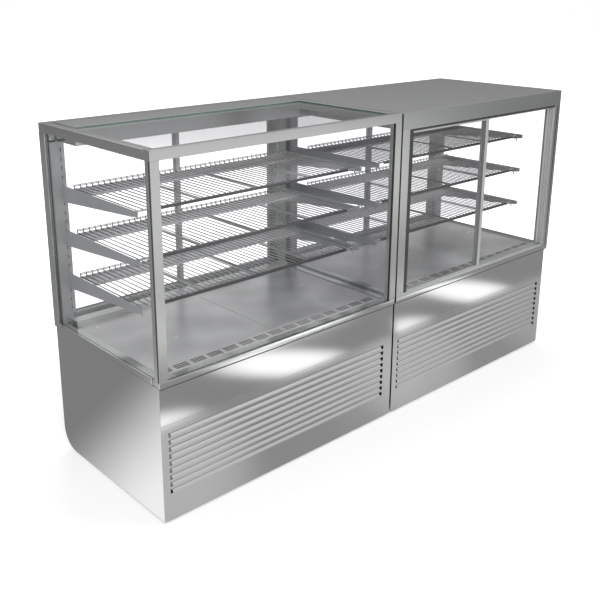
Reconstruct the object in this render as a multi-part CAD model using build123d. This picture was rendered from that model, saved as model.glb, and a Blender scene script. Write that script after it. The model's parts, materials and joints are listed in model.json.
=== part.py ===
from build123d import *
import math
import os

os.makedirs("parts", exist_ok=True)

# A run of two refrigerated display cabinets bolted side by side, in millimetres.
# X runs along the counter, Y from the customer's side to the server's side, Z up.
# The origin is on the floor under the middle of the run.

# Overall sizes
bay_length = 1200.0
bay_gap = 10.0
case_depth = 750.0
case_height = 1350.0

# Base cabinet
foot_height = 8.0
sheet = 1.5
base_setback = 6.5
base_rear_inset = 15.0
far_end_inset = 14.0
rear_corner_radius = 85.0
cheek_width = 18.0
joint_height = 386.0
panel_flange = 14.0

# Louvres of the front panel, each bent inwards from its lower edge
louvre_count = 9
louvre_pitch = 27.8
louvre_first_top = 353.5
louvre_height = 17.0
louvre_depth = 10.0
louvre_from_left = 30.0
louvre_from_right = 54.0
louvre_end_notch = 11.0

# Sill and deck
sill_top = 555.0
sill_depth = 22.0
sill_front_width = 45.0
sill_rear_width = 62.0
sill_side_width = 42.0
deck_drop = 5.0
deck_ledge = 4.0
tray_rim = 10.0
tray_seam = 2.0
grille_rear = 139.0
tray_from_rear = 157.0
grille_slot_length = 54.0
grille_slot_width = 5.0
grille_slot_count = 15
grille_row_centre = 82.0
duct_from_rear = 110.0
duct_height = 21.0

# Upper frame
post_width = 35.0
post_depth = 30.0
door_post_width = 45.0
rear_post_size = 40.0
post_wall = 2.0
top_rail_height = 35.0
door_rail_height = 70.0
top_rail_width = 42.0
top_side_width = 46.0
lid_sheet = 1.5
glass = 6.0
glass_inset = 6.0
glass_bite = 6.0
fit = 0.5
glass_ledge = 10.0
pane_below_top = 1.0

# Header that carries the rear door track and closes the top of the rear
header_from_rear = 194.0
header_height = 69.0

# Shelving
upright_width = 42.0
upright_from_rear = 62.0
upright_depth = 14.0
upright_from_end = 13.0
slot_height = 12.0
slot_width = 4.0
slot_pitch = 35.0
bracket_plane = 51.0
bracket_sheet = 2.5
bracket_front = 168.0
bracket_rear_height = 65.0
bracket_front_height = 18.0
bracket_flange = 22.0
bracket_nose = 40.0
bracket_nose_drop = 7.0
hook_reach = 5.0
hook_height = 9.0
shelf_top_height = 1112.0
shelf_steps = 5
shelf_count = 3
wire = 4.0
wire_count = 25
rack_end_gap = 10.5
rack_front = 197.0
rack_from_rear = 120.0
guard_height = 12.0
guard_bays = 6
carrier_depth = 12.0
beam_width = 105.0
strap_width = 20.0
strap_thickness = 3.0
front_bar_width = 12.0
strip_depth = 10.0
strip_height = 9.0
strip_end_gap = 47.0
strip_tip_length = 4.0
strip_tip_overhang = 1.0
strip_tip_height = 30.0
strip_tip_rise = 2.0
strip_chamfer = 3.0

# Sliding doors
leaf_thickness = 12.0
leaf_gap = 3.0
leaf_overlap = 18.0
leaf_play = 0.5
leaf_rail = 24.0
front_leaf_rail = 15.0
rear_jamb_stile = 40.0
rear_meeting_stile = 18.0
front_jamb_stile = 20.0
front_meeting_stile = 20.0
door_glass = 4.0
grip_depth = 3.0
grip_width = 9.0
grip_length = 144.0
track_wall = 2.0
track_height = 26.0
front_track_height = 10.0
track_play = 1.5
track_floor = 2.0
leaf_lift = 0.4
leaf_entry = 14.0
front_leaf_entry = 6.5
track_rear_gap = 2.0
front_track_gap = 4.0
jamb_seal = 20.0
gasket = 5.0

# Refrigeration, inside the base
well_wall = 40.0
well_bottom = 340.0
well_end_gap = 4.0
service_space = 36.0
pan_height = 30.0
pan_rim = 3.0
angle_leg = 30.0
angle_wall = 3.0
compressor_from_left = 300.0
compressor_from_front = 400.0
compressor_radius = 75.0
compressor_height = 190.0
shoulder_share = 0.78
crown_taper = 30.0
mount_plate = 4.0
mount_margin = 12.0
grommet_radius = 9.0
mount_foot_height = 12.0
coil_from_left = 620.0
coil_from_front = 45.0
coil_length = 300.0
coil_height = 230.0
coil_depth = 60.0
cold_coil_from_front = 250.0
cold_coil_depth = 110.0
cold_coil_head_room = 8.0
cold_fan_from_front = 470.0
fin_count = 8
fin_share = 0.4
fin_depth_share = 0.35
condenser_fan_radius = 92.0
evaporator_fan_radius = 52.0
fan_gap = 3.0
fan_plate = 2.0
fan_duct = 26.0
fan_hub_share = 0.28
shell_sides = 24
hub_sides = 16
bore_sides = 12
small_sides = 8
fan_hub_length_share = 0.8
fan_blade_width_share = 0.55
fan_blade_root = 3.0
fan_plate_margin = 14.0
motor_share = 0.32
motor_arm_height = 16.0
motor_arm_sheet = 3.0
fan_blade_count = 5
fan_blade_thickness = 2.0
fan_blade_pitch = 32.0
motor_length = 45.0
shaft_radius = 4.0
shaft_clearance = 0.3

# Controls and services on the rear panel
control_z = 460.0
controller_from_left = 150.0
switch_from_left = 240.0
controller_width = 78.0
controller_height = 36.0
controller_depth = 30.0
bezel = 4.0
switch_width = 20.0
switch_height = 28.0
switch_frame = 3.0
switch_depth = 22.0
rocker_throw = 12.0
rocker_clearance = 0.4
rocker_pivot_depth = 5.0
gland_radius = 12.0
gland_bore = 5.0
gland_length = 10.0
gland_neck = 12.0
vent_count = 8
vent_length = 420.0
vent_width = 6.0
vent_pitch = 18.0
vent_from_end = 150.0
vent_above_corner = 20.0
gland_above_corner = 30.0

# Feet and the bolts that join the two cabinets
foot_radius = 20.0
foot_pad = 5.0
foot_neck_radius = 12.0
foot_from_cheek = 40.0
foot_from_front = 55.0
bolt_radius = 8.0
bolt_from_front = 90.0
bolt_from_rear = 110.0
bolt_low = 120.0
bolt_high = 480.0

# Derived places
run_length = 2 * bay_length + bay_gap
front = -case_depth / 2
rear = case_depth / 2
bay_starts = {"left": -run_length / 2, "right": -run_length / 2 + bay_length + bay_gap}
sill_bottom = sill_top - sill_depth
deck_top = sill_top - deck_drop
base_front = front + base_setback
base_rear = rear - base_rear_inset
shelf_pitch = shelf_steps * slot_pitch
shelf_heights = [shelf_top_height - shelf_pitch * step for step in range(shelf_count)]
track_width = 2 * (leaf_thickness + 2 * track_play) + 3 * track_wall
rear_track_front = rear - track_rear_gap - track_width
front_track_front = front + front_track_gap
header_rear = rear_track_front - leaf_gap
corner_top = foot_height + rear_corner_radius
vent_base = corner_top + vent_above_corner
gland_z = corner_top + gland_above_corner


def block(x_from, x_to, y_from, y_to, z_from, z_to):
    middle = Pos((x_from + x_to) / 2, (y_from + y_to) / 2, (z_from + z_to) / 2)
    return middle * Box(x_to - x_from, y_to - y_from, z_to - z_from)


def bar_x(outline, x_from, x_to):
    # outline holds (y, z) corners
    face = make_face(Polyline(outline, close=True))
    return extrude(Plane.YZ.offset(x_from) * face, amount=x_to - x_from, dir=(1, 0, 0))


def bar_y(outline, y_from, y_to):
    # outline holds (x, z) corners
    lifted = [(x, y_from, z) for x, z in outline]
    face = make_face(Polyline(lifted, close=True))
    return extrude(face, amount=y_to - y_from, dir=(0, 1, 0))


def bar_z(outline, z_from, z_to):
    # outline holds (x, y) corners
    face = make_face(Polyline(outline, close=True))
    return extrude(Pos(0, 0, z_from) * face, amount=z_to - z_from, dir=(0, 0, 1))


def round_bar(axis, middle, radius, length):
    # a cylinder that starts at middle and runs along axis
    turned = {"x": Rot(0, 90, 0), "y": Rot(-90, 0, 0), "z": Rot(0, 0, 0)}[axis]
    rod = Cylinder(radius, length, align=(Align.CENTER, Align.CENTER, Align.MIN))
    return Pos(*middle) * turned * rod


def sided_bar(axis, middle, radius, length, sides):
    # the same with flat sides; the radius is measured to the corners
    turned = {"x": Rot(0, 90, 0), "y": Rot(-90, 0, 0), "z": Rot(0, 0, 0)}[axis]
    return Pos(*middle) * turned * extrude(RegularPolygon(radius, sides), amount=length)


def mirrored(piece, centre_x):
    return mirror(piece, about=Plane.YZ.offset(centre_x))


def save(name, *pieces):
    solids = []
    for piece in pieces:
        solids.extend(piece.solids())
    export_step(Compound(solids), f"parts/{name}.step")


class Bay:
    def __init__(self, name):
        self.name = name
        self.start = bay_starts[name]
        self.end = self.start + bay_length
        self.centre = self.start + bay_length / 2
        self.has_front_doors = name == "right"
        self.rail_height = door_rail_height if self.has_front_doors else top_rail_height
        self.rail_bottom = case_height - self.rail_height
        self.top_of_rails = case_height - (lid_sheet if self.has_front_doors else 0.0)
        self.front_post = door_post_width if self.has_front_doors else post_width
        self.base_end = self.end - (far_end_inset if self.has_front_doors else 0.0)
        self.header_bottom = self.top_of_rails - header_height

    def both_ends(self, piece):
        return [piece, mirrored(piece, self.centre)]


bays = [Bay("left"), Bay("right")]


# Base cabinet


def cheek_face(y_front, y_rear, z_low, z_high, radius):
    # a cheek's outline, with its lower rear corner rounded
    start = (y_rear - radius, z_low)
    finish = (y_rear, z_low + radius)
    lean = radius * math.sin(math.pi / 4)
    midway = (y_rear - radius + lean, z_low + radius - lean)
    corner = ThreePointArc(start, midway, finish)
    rest = Polyline([finish, (y_rear, z_high), (y_front, z_high), (y_front, z_low), start])
    return make_face([corner, rest])


def cheek(outer_x, inward):
    # a folded side panel: a sheet with a rim turned inwards all round
    y_front = base_front + sheet
    outer = cheek_face(y_front, base_rear, foot_height, sill_bottom, rear_corner_radius)
    inner = cheek_face(y_front + sheet, base_rear - sheet, foot_height + sheet,
                       sill_bottom - sheet, rear_corner_radius - sheet)
    skin = extrude(Plane.YZ.offset(outer_x) * outer, amount=cheek_width, dir=(inward, 0, 0))
    hollow = Plane.YZ.offset(outer_x + inward * sheet) * inner
    return skin - extrude(hollow, amount=cheek_width, dir=(inward, 0, 0))


def front_band(bay):
    # the plain upper panel, folded back along both long edges
    back = base_front + sheet
    low = joint_height
    outline = [
        (base_front, low),
        (base_front + panel_flange, low),
        (base_front + panel_flange, low + sheet),
        (back, low + sheet),
        (back, sill_bottom - sheet),
        (base_front + panel_flange, sill_bottom - sheet),
        (base_front + panel_flange, sill_bottom),
        (base_front, sill_bottom),
    ]
    inside = bar_x(outline, bay.start + cheek_width, bay.base_end - cheek_width)
    face = block(bay.start, bay.base_end, base_front, back, low, sill_bottom)
    return inside + face


def louvre_panel(bay):
    # the lower panel: each louvre is cut along its top and both ends and bent inwards
    back = base_front + sheet
    high = joint_height - fit
    x_from = bay.start + louvre_from_left
    x_to = bay.end - louvre_from_right
    windows = []
    blades = []
    for step in range(louvre_count):
        top = louvre_first_top - louvre_pitch * step
        low = top - louvre_height
        windows.append(block(x_from, x_to, base_front - 1, back + 1, low, top))
        outline = [
            (base_front, low),
            (back, low),
            (base_front + louvre_depth + sheet, top - sheet),
            (base_front + louvre_depth, top - sheet),
        ]
        blades.append(bar_x(outline, x_from + louvre_end_notch, x_to - louvre_end_notch))
    panel = block(bay.start, bay.base_end, base_front, back, foot_height, high)
    return panel - windows + blades


def rear_panel(bay):
    # one sheet rolled under at the foot, with a bank of vents and the service holes
    def profile(offset, radius):
        lean = radius * math.sin(math.pi / 4)
        centre = (base_rear - rear_corner_radius, foot_height + rear_corner_radius)
        start = (base_rear - offset, centre[1])
        midway = (centre[0] + lean, centre[1] - lean)
        finish = (centre[0], foot_height + offset)
        return start, midway, finish

    out_start, out_middle, out_finish = profile(0.0, rear_corner_radius)
    in_start, in_middle, in_finish = profile(sheet, rear_corner_radius - sheet)
    edges = [
        Line((base_rear, sill_bottom), out_start),
        ThreePointArc(out_start, out_middle, out_finish),
        Line(out_finish, in_finish),
        ThreePointArc(in_finish, in_middle, in_start),
        Line(in_start, (base_rear - sheet, sill_bottom)),
        Line((base_rear - sheet, sill_bottom), (base_rear, sill_bottom)),
    ]
    x_from = bay.start + cheek_width
    x_to = bay.base_end - cheek_width
    panel = extrude(Plane.YZ.offset(x_from) * make_face(edges), amount=x_to - x_from, dir=(1, 0, 0))
    near = base_rear - 2 * sheet
    far = base_rear + sheet
    vent_x = bay.base_end - vent_from_end - vent_length
    holes = []
    for step in range(vent_count):
        z_low = vent_base + vent_pitch * step
        holes.append(block(vent_x, vent_x + vent_length, near, far, z_low, z_low + vent_width))
    control_x, switch_x = control_places(bay)
    half_width = controller_width / 2 - bezel
    half_height = controller_height / 2 - bezel
    holes.append(block(control_x - half_width, control_x + half_width, near, far,
                       control_z - half_height, control_z + half_height))
    holes.append(block(switch_x - switch_width / 2, switch_x + switch_width / 2, near, far,
                       control_z - switch_height / 2, control_z + switch_height / 2))
    holes.append(sided_bar("y", (bay.centre, near, gland_z), gland_bore + sheet, far - near, bore_sides))
    return panel - holes


def control_places(bay):
    # the middle of the controller and of the switch, near the server's right hand
    return bay.start + controller_from_left, bay.start + switch_from_left


def base_pan(bay):
    # the floor tray that carries the machinery, rims up
    x_from = bay.start + cheek_width + fit
    x_to = bay.base_end - cheek_width - fit
    y_from = base_front + panel_flange + fit
    y_to = base_rear - rear_corner_radius
    low = foot_height
    outer = block(x_from, x_to, y_from, y_to, low, low + pan_height)
    return outer - block(x_from + pan_rim, x_to - pan_rim, y_from + pan_rim, y_to - pan_rim,
                         low + pan_rim, low + pan_height + 1)


def corner_angles(bay):
    # upright angles from the floor tray to the sill, one in each corner and one midway
    x_from = bay.start + cheek_width + fit + pan_rim
    x_to = bay.base_end - cheek_width - fit - pan_rim
    y_from = base_front + panel_flange + fit + pan_rim
    y_to = base_rear - rear_corner_radius - pan_rim
    low = foot_height + pan_rim
    pieces = []
    for x, x_side in ((x_from, 1), (x_to, -1)):
        for y, y_side in ((y_from, 1), (y_to, -1)):
            outline = [
                (x, y),
                (x + x_side * angle_leg, y),
                (x + x_side * angle_leg, y + y_side * angle_wall),
                (x + x_side * angle_wall, y + y_side * angle_wall),
                (x + x_side * angle_wall, y + y_side * angle_leg),
                (x, y + y_side * angle_leg),
            ]
            pieces.append(bar_z(outline, low, well_bottom))
    return pieces


def well_box(bay):
    # the outside of the insulated well
    x_from = bay.start + cheek_width + well_end_gap
    x_to = bay.base_end - cheek_width - well_end_gap
    y_from = base_front + panel_flange + well_end_gap
    y_to = base_rear - sheet - service_space
    return x_from, x_to, y_from, y_to


def cold_well(bay):
    x_from, x_to, y_from, y_to = well_box(bay)
    outer = block(x_from, x_to, y_from, y_to, well_bottom, sill_bottom)
    return outer - block(x_from + well_wall, x_to - well_wall, y_from + well_wall, y_to - well_wall,
                         well_bottom + well_wall, sill_bottom + 1)


# Sill, deck and air grilles


def sill_frame(bay):
    # four folded rails with a step that carries the deck
    step_z = deck_top - tray_rim

    def rail(outer, inner, side):
        return [
            (outer, sill_bottom),
            (inner + side * deck_ledge, sill_bottom),
            (inner + side * deck_ledge, step_z),
            (inner, step_z),
            (inner, sill_top),
            (outer, sill_top),
        ]

    y_front = front + sill_front_width
    y_rear = rear - sill_rear_width
    front_rail = bar_x(rail(front, y_front, 1), bay.start, bay.end)
    rear_rail = bar_x(rail(rear, y_rear, -1), bay.start, bay.end)
    side_outline = rail(bay.start, bay.start + sill_side_width, 1)
    side_rail = bar_y(side_outline, y_front + deck_ledge, y_rear - deck_ledge)
    return [front_rail, rear_rail] + bay.both_ends(side_rail)


def deck_trays(bay):
    # two lift-out pans, rims folded down, with a narrow seam between them
    low = deck_top - tray_rim
    y_from = front + grille_rear
    y_to = rear - tray_from_rear
    x_from = bay.start + sill_side_width + fit
    x_to = bay.centre - tray_seam / 2
    outer = block(x_from, x_to, y_from, y_to, low, deck_top)
    pan = outer - block(x_from + sheet, x_to - sheet, y_from + sheet, y_to - sheet,
                        low - 1, deck_top - sheet)
    return bay.both_ends(pan)


def return_grille(bay):
    # the slotted strip behind the front glass that draws the cold air back
    low = deck_top - tray_rim
    x_from = bay.start + sill_side_width + fit
    x_to = bay.end - sill_side_width - fit
    y_from = front + sill_front_width + fit
    y_to = front + grille_rear - fit
    grille = block(x_from, x_to, y_from, y_to, low, deck_top)
    holes = [block(x_from + sheet, x_to - sheet, y_from + sheet, y_to - sheet, low - 1,
                   deck_top - sheet)]
    pitch = (x_to - x_from) / grille_slot_count
    y = front + grille_row_centre
    for number in range(grille_slot_count):
        x = x_from + pitch * (number + 0.5)
        holes.append(block(x - grille_slot_length / 2, x + grille_slot_length / 2,
                           y - grille_slot_width / 2, y + grille_slot_width / 2,
                           deck_top - 2 * sheet, deck_top + 1))
    return grille - holes


def supply_duct(bay):
    # the strip behind the trays and the low upstand that blows the cold air forward
    low = deck_top - tray_rim
    y_from = rear - tray_from_rear + fit
    y_step = rear - duct_from_rear
    y_to = rear - sill_rear_width - fit
    high = deck_top + duct_height
    x_from = bay.start + sill_side_width + fit
    x_to = bay.end - sill_side_width - fit

    def cover(near, far, top):
        return bar_x([
            (near, low),
            (near + sheet, low),
            (near + sheet, top - sheet),
            (far - sheet, top - sheet),
            (far - sheet, low),
            (far, low),
            (far, top),
            (near, top),
        ], x_from, x_to)

    return [cover(y_from, y_step, deck_top), cover(y_step, y_to, high)]


# Upper frame and glass


def glass_band(outer, side):
    # the faces of a pane that stands glass_inset behind an outer plane
    near = outer + side * glass_inset
    return near, near + side * glass


def front_post_piece(bay):
    # a hollow post with a groove for the side pane, and one for the front pane where there is one
    x_from = bay.start
    x_to = bay.start + bay.front_post
    y_from = front
    y_to = front + post_depth
    pane_near, pane_far = glass_band(x_from, 1)
    post = block(x_from, x_to, y_from, y_to, sill_top, bay.rail_bottom)
    post -= block(x_from + 3 * glass, x_to - glass_bite - post_wall - fit, y_from + post_wall,
                  y_to - post_wall, sill_top - 1, bay.rail_bottom + 1)
    post -= block(pane_near - fit, pane_far + fit, y_to - glass_bite - fit, y_to + 1,
                  sill_top - 1, bay.rail_bottom + 1)
    if not bay.has_front_doors:
        front_near, front_far = glass_band(front, 1)
        post -= block(x_to - glass_bite - fit, x_to + 1, front_near - fit, front_far + fit,
                      sill_top - 1, bay.rail_bottom + 1)
    return post


def rear_post_piece(bay):
    x_from = bay.start
    x_to = bay.start + rear_post_size
    y_from = rear - rear_post_size
    y_to = rear
    pane_near, pane_far = glass_band(x_from, 1)
    post = block(x_from, x_to, y_from, y_to, sill_top, bay.rail_bottom)
    post -= block(x_from + post_wall, x_to - post_wall, y_from + glass_bite + fit + post_wall,
                  y_to - post_wall, sill_top - 1, bay.rail_bottom + 1)
    post -= block(pane_near - fit, pane_far + fit, y_from - 1, y_from + glass_bite + fit,
                  sill_top - 1, bay.rail_bottom + 1)
    return post


def side_pane(bay):
    near, far = glass_band(bay.start, 1)
    y_from = front + post_depth - glass_bite
    y_to = rear - rear_post_size + glass_bite
    return block(near, far, y_from, y_to, sill_top, bay.rail_bottom)


def front_pane(bay):
    near, far = glass_band(front, 1)
    x_from = bay.start + bay.front_post - glass_bite
    x_to = bay.end - bay.front_post + glass_bite
    return block(x_from, x_to, near, far, sill_top, bay.rail_bottom)


def top_frame(bay):
    # folded rails round the top; where glass lies in them they have a ledge
    low = bay.rail_bottom
    high = bay.top_of_rails
    ledge_z = high - (0.0 if bay.has_front_doors else glass + pane_below_top)
    ledge = 0.0 if bay.has_front_doors else glass_ledge

    def rail(outer, inner, side):
        if ledge == 0.0:
            return [(outer, low), (inner, low), (inner, high), (outer, high)]
        return [
            (outer, low),
            (inner, low),
            (inner, ledge_z),
            (inner - side * ledge, ledge_z),
            (inner - side * ledge, high),
            (outer, high),
        ]

    y_front = front + top_rail_width
    front_rail = bar_x(rail(front, y_front, 1), bay.start, bay.end)
    side_outline = rail(bay.start, bay.start + top_side_width, 1)
    side_rail = bar_y(side_outline, y_front, header_rear)
    rear_rail = block(bay.start, bay.end, header_rear, rear, low, high)
    return [front_rail, rear_rail] + bay.both_ends(side_rail)


def top_pane(bay):
    # the glass lid, laid on the ledges of the front and side rails and of the header
    high = bay.top_of_rails - pane_below_top
    x_from = bay.start + top_side_width - glass_ledge + fit
    x_to = bay.end - top_side_width + glass_ledge - fit
    y_from = front + top_rail_width - glass_ledge + fit
    y_to = rear - header_from_rear + glass_ledge - fit
    return block(x_from, x_to, y_from, y_to, high - glass, high)


def header(bay):
    # the folded box across the rear, open below for its lamp
    low = bay.header_bottom
    high = bay.top_of_rails
    y_from = rear - header_from_rear
    y_to = header_rear
    wall = 2 * sheet
    ledge = 0.0 if bay.has_front_doors else glass_ledge
    ledge_z = high - (0.0 if bay.has_front_doors else glass + pane_below_top)
    outline = [
        (y_from, low),
        (y_from + panel_flange, low),
        (y_from + panel_flange, low + wall),
        (y_from + wall, low + wall),
        (y_from + wall, ledge_z - wall),
        (y_to - wall, ledge_z - wall),
        (y_to - wall, low + wall),
        (y_to - panel_flange, low + wall),
        (y_to - panel_flange, low),
        (y_to, low),
        (y_to, high),
        (y_from + ledge, high),
    ]
    if ledge > 0.0:
        outline += [(y_from + ledge, ledge_z), (y_from, ledge_z)]
    x_from = bay.start + top_side_width
    x_to = bay.end - top_side_width
    end_plate = block(x_from, x_from + sheet, y_from + sheet, y_to - sheet, low, ledge_z - sheet)
    return bar_x(outline, x_from, x_to) + end_plate + mirrored(end_plate, bay.centre)


def lid(bay):
    return block(bay.start, bay.end, front, rear, bay.top_of_rails, case_height)


# Shelving


def slot_rows():
    first = sill_top + slot_pitch
    last = case_height - door_rail_height - slot_pitch
    count = int((last - first) / slot_pitch) + 1
    top_hook = shelf_top_height - hook_height
    shift = (top_hook - first) % slot_pitch
    return [first + shift + slot_pitch * step for step in range(count)]


def upright(bay):
    # a slotted channel that the brackets hook into
    x_from = bay.start + upright_from_end
    x_to = x_from + upright_width
    y_from = rear - upright_from_rear
    y_to = y_from + upright_depth
    x_slot = bay.start + bracket_plane
    outline = [
        (x_from, y_from),
        (x_to, y_from),
        (x_to, y_to),
        (x_to - sheet, y_to),
        (x_to - sheet, y_from + sheet),
        (x_from + sheet, y_from + sheet),
        (x_from + sheet, y_to),
        (x_from, y_to),
    ]
    slots = [block(x_slot - slot_width / 2, x_slot + slot_width / 2, y_from - 1, y_from + sheet + 1,
                   low, low + slot_height) for low in slot_rows()]
    return bar_z(outline, sill_top, bay.header_bottom) - slots


def bracket(bay, height):
    # a tapered arm with two hooks at the rear and a flange that the rack lies on
    near = bay.start + bracket_plane - bracket_sheet / 2
    far = near + bracket_sheet
    y_front = front + bracket_front
    y_rear = rear - upright_from_rear
    y_hook = y_rear + hook_reach
    low = height - bracket_rear_height
    upper_hook = height - hook_height
    lower_hook = upper_hook - slot_pitch
    outline = [
        (y_front, height),
        (y_front, height - bracket_front_height),
        (y_front + bracket_nose, height - bracket_front_height - bracket_nose_drop),
        (y_rear, low),
        (y_rear, lower_hook),
        (y_hook, lower_hook),
        (y_hook, lower_hook + hook_height),
        (y_rear, lower_hook + hook_height),
        (y_rear, upper_hook),
        (y_hook, upper_hook),
        (y_hook, upper_hook + hook_height),
        (y_rear, upper_hook + hook_height),
    ]
    arm = bar_x(outline, near, far)
    seat = height - wire - carrier_depth
    return arm + block(far - bracket_sheet, far + bracket_flange, front + rack_front, y_rear - fit,
                       seat - sheet, seat)


def rack_ends(bay):
    reach = bracket_plane + bracket_sheet / 2 + rack_end_gap
    return bay.start + reach, bay.end - reach


def wire_rack(bay, height):
    # the welded rack: rods front to back between two end rods, and a guard rail at the rear
    x_from, x_to = rack_ends(bay)
    y_from = front + rack_front
    y_to = rear - rack_from_rear
    pitch = (x_to - x_from - wire) / (wire_count - 1)
    span = Pos((x_from + x_to) / 2, (y_from + y_to) / 2) * Rectangle(x_to - x_from, y_to - y_from)
    gaps = GridLocations(pitch, 0, wire_count - 1, 1)
    holes = Rectangle(pitch - wire, y_to - y_from - 2 * wire)
    middle = Pos((x_from + x_to) / 2, (y_from + y_to) / 2)
    grid = extrude(Pos(0, 0, height - wire) * (span - middle * gaps * holes), amount=wire)
    return [grid, guard(x_from, x_to, y_to, height)]


def guard(x_from, x_to, y_rear, height):
    # two rods above the rack's rear edge on short risers
    wide = x_to - x_from
    face = Pos((x_from + x_to) / 2, y_rear - wire / 2, height + guard_height / 2) * Rot(90, 0, 0)
    pitch = (wide - wire) / guard_bays
    places = Pos(0, -wire / 2) * GridLocations(pitch, 0, guard_bays, 1)
    outline = Rectangle(wide, guard_height) - places * Rectangle(pitch - wire, guard_height - wire)
    return extrude(face * outline, amount=wire / 2, both=True)


def carrier(bay, height):
    # the rack's folded rear beam, three straps and front bar
    x_from, x_to = rack_ends(bay)
    high = height - wire
    low = high - carrier_depth
    y_from = front + rack_front
    y_to = rear - rack_from_rear
    y_beam = y_to - beam_width
    beam_outline = [
        (y_beam, low),
        (y_beam + sheet, low),
        (y_beam + sheet, high - sheet),
        (y_to - sheet, high - sheet),
        (y_to - sheet, low),
        (y_to, low),
        (y_to, high),
        (y_beam, high),
    ]
    frame = bar_x(beam_outline, x_from, x_to)
    frame += block(x_from, x_to, y_from, y_from + front_bar_width, low, high)
    for quarter in (1, 2, 3):
        x = x_from + (x_to - x_from) * quarter / 4
        frame += block(x - strap_width / 2, x + strap_width / 2, y_from + front_bar_width - 1,
                       y_beam + 1, high - strap_thickness, high)
    return frame


def light_strip(bay, height):
    # the strip under the rack's front edge, and a short hook at each end of the rack
    x_from, x_to = rack_ends(bay)
    y_to = front + rack_front
    y_from = y_to - strip_depth
    high = height - wire
    strip = bar_x([
        (y_from, high - strip_height),
        (y_to, high - strip_height),
        (y_to, high),
        (y_from + strip_chamfer, high),
        (y_from, high - strip_chamfer),
    ], x_from + strip_end_gap, x_to - strip_end_gap)
    tip_from = x_from - strip_tip_overhang
    tip = block(tip_from, tip_from + strip_tip_length, y_from, y_to, high - strip_tip_height,
                high + strip_tip_rise)
    return [strip] + bay.both_ends(tip)


# Sliding doors


def door_track(x_from, x_to, y_from, z_low, height, open_up):
    # a double channel with a wall between its two lanes
    lane = leaf_thickness + 2 * track_play
    y_to = y_from + track_width
    floor_low = z_low if open_up else z_low + height - track_floor
    outer = block(x_from, x_to, y_from, y_to, z_low, z_low + height)
    for number in (0, 1):
        lane_from = y_from + track_wall + number * (lane + track_wall)
        lane_low = floor_low + track_floor if open_up else z_low - 1
        lane_high = z_low + height + 1 if open_up else floor_low
        outer -= block(x_from - 1, x_to + 1, lane_from, lane_from + lane, lane_low, lane_high)
    return outer


def lane_front(y_from, lane):
    # the front face of the leaf in lane 0, nearer the customer, or lane 1
    return y_from + track_wall + track_play + lane * (leaf_thickness + 2 * track_play + track_wall)


def leaf_frame(x_from, x_to, y_from, z_low, z_high, left_stile, right_stile, rail_height, grip_left):
    # an extruded door frame: two stiles and two rails, with a grip groove in the outer stile
    y_to = y_from + leaf_thickness
    glass_from = y_from + (leaf_thickness - door_glass) / 2
    glass_to = glass_from + door_glass
    stiles = []
    for x, wide, side in ((x_from, left_stile, 1), (x_to, right_stile, -1)):
        inner = x + side * wide
        groove = inner - side * glass_bite
        outline = [
            (x, y_from),
            (x, y_to),
            (inner, y_to),
            (inner, glass_to),
            (groove, glass_to),
            (groove, glass_from),
            (inner, glass_from),
            (inner, y_from),
        ]
        stiles.append(bar_z(outline, z_low, z_high))
    for low, high, groove_low in (
        (z_low, z_low + rail_height, z_low + rail_height - glass_bite),
        (z_high - rail_height, z_high, z_high - rail_height),
    ):
        rail = block(x_from + left_stile, x_to - right_stile, y_from, y_to, low, high)
        rail -= block(x_from, x_to, glass_from, glass_to, groove_low, groove_low + glass_bite)
        stiles.append(rail)
    number = 0 if grip_left else 1
    grip_x = x_from + left_stile / 2 if grip_left else x_to - right_stile / 2
    middle = (z_low + z_high) / 2
    stiles[number] -= block(grip_x - grip_width / 2, grip_x + grip_width / 2, y_to - grip_depth,
                            y_to + 1, middle - grip_length / 2, middle + grip_length / 2)
    return stiles


def leaf_glass(x_from, x_to, y_from, z_low, z_high, left_stile, right_stile, rail_height):
    glass_from = y_from + (leaf_thickness - door_glass) / 2
    return block(x_from + left_stile - glass_bite, x_to - right_stile + glass_bite, glass_from,
                 glass_from + door_glass, z_low + rail_height - glass_bite,
                 z_high - rail_height + glass_bite)


def leaf_span(x_from, x_to):
    # the two leaves share the opening and overlap in its middle
    wide = (x_to - x_from + leaf_overlap) / 2
    return (x_from + leaf_play, x_from + wide), (x_to - wide, x_to - leaf_play)


def rear_doors(bay):
    x_from = bay.start + rear_post_size
    x_to = bay.end - rear_post_size
    top_track_low = min(bay.rail_bottom, bay.header_bottom + track_height) - track_height
    tracks = [
        door_track(x_from, x_to, rear_track_front, sill_top, track_height, True),
        door_track(x_from, x_to, rear_track_front, top_track_low,
                   bay.rail_bottom - top_track_low, False),
    ]
    z_low = sill_top + track_floor + leaf_lift
    z_high = top_track_low + leaf_entry
    left_span, right_span = leaf_span(x_from, x_to)
    leaves = (("inner", 0, left_span, True), ("outer", 1, right_span, False))
    for name, lane, span, grip_left in leaves:
        y = lane_front(rear_track_front, lane)
        left_stile = rear_jamb_stile if grip_left else rear_meeting_stile
        right_stile = rear_meeting_stile if grip_left else rear_jamb_stile
        save(f"{bay.name}_rear_door_{name}",
             *leaf_frame(*span, y, z_low, z_high, left_stile, right_stile, leaf_rail, grip_left))
        save(f"{bay.name}_rear_door_{name}_glass",
             leaf_glass(*span, y, z_low, z_high, left_stile, right_stile, leaf_rail))
    return tracks


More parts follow.
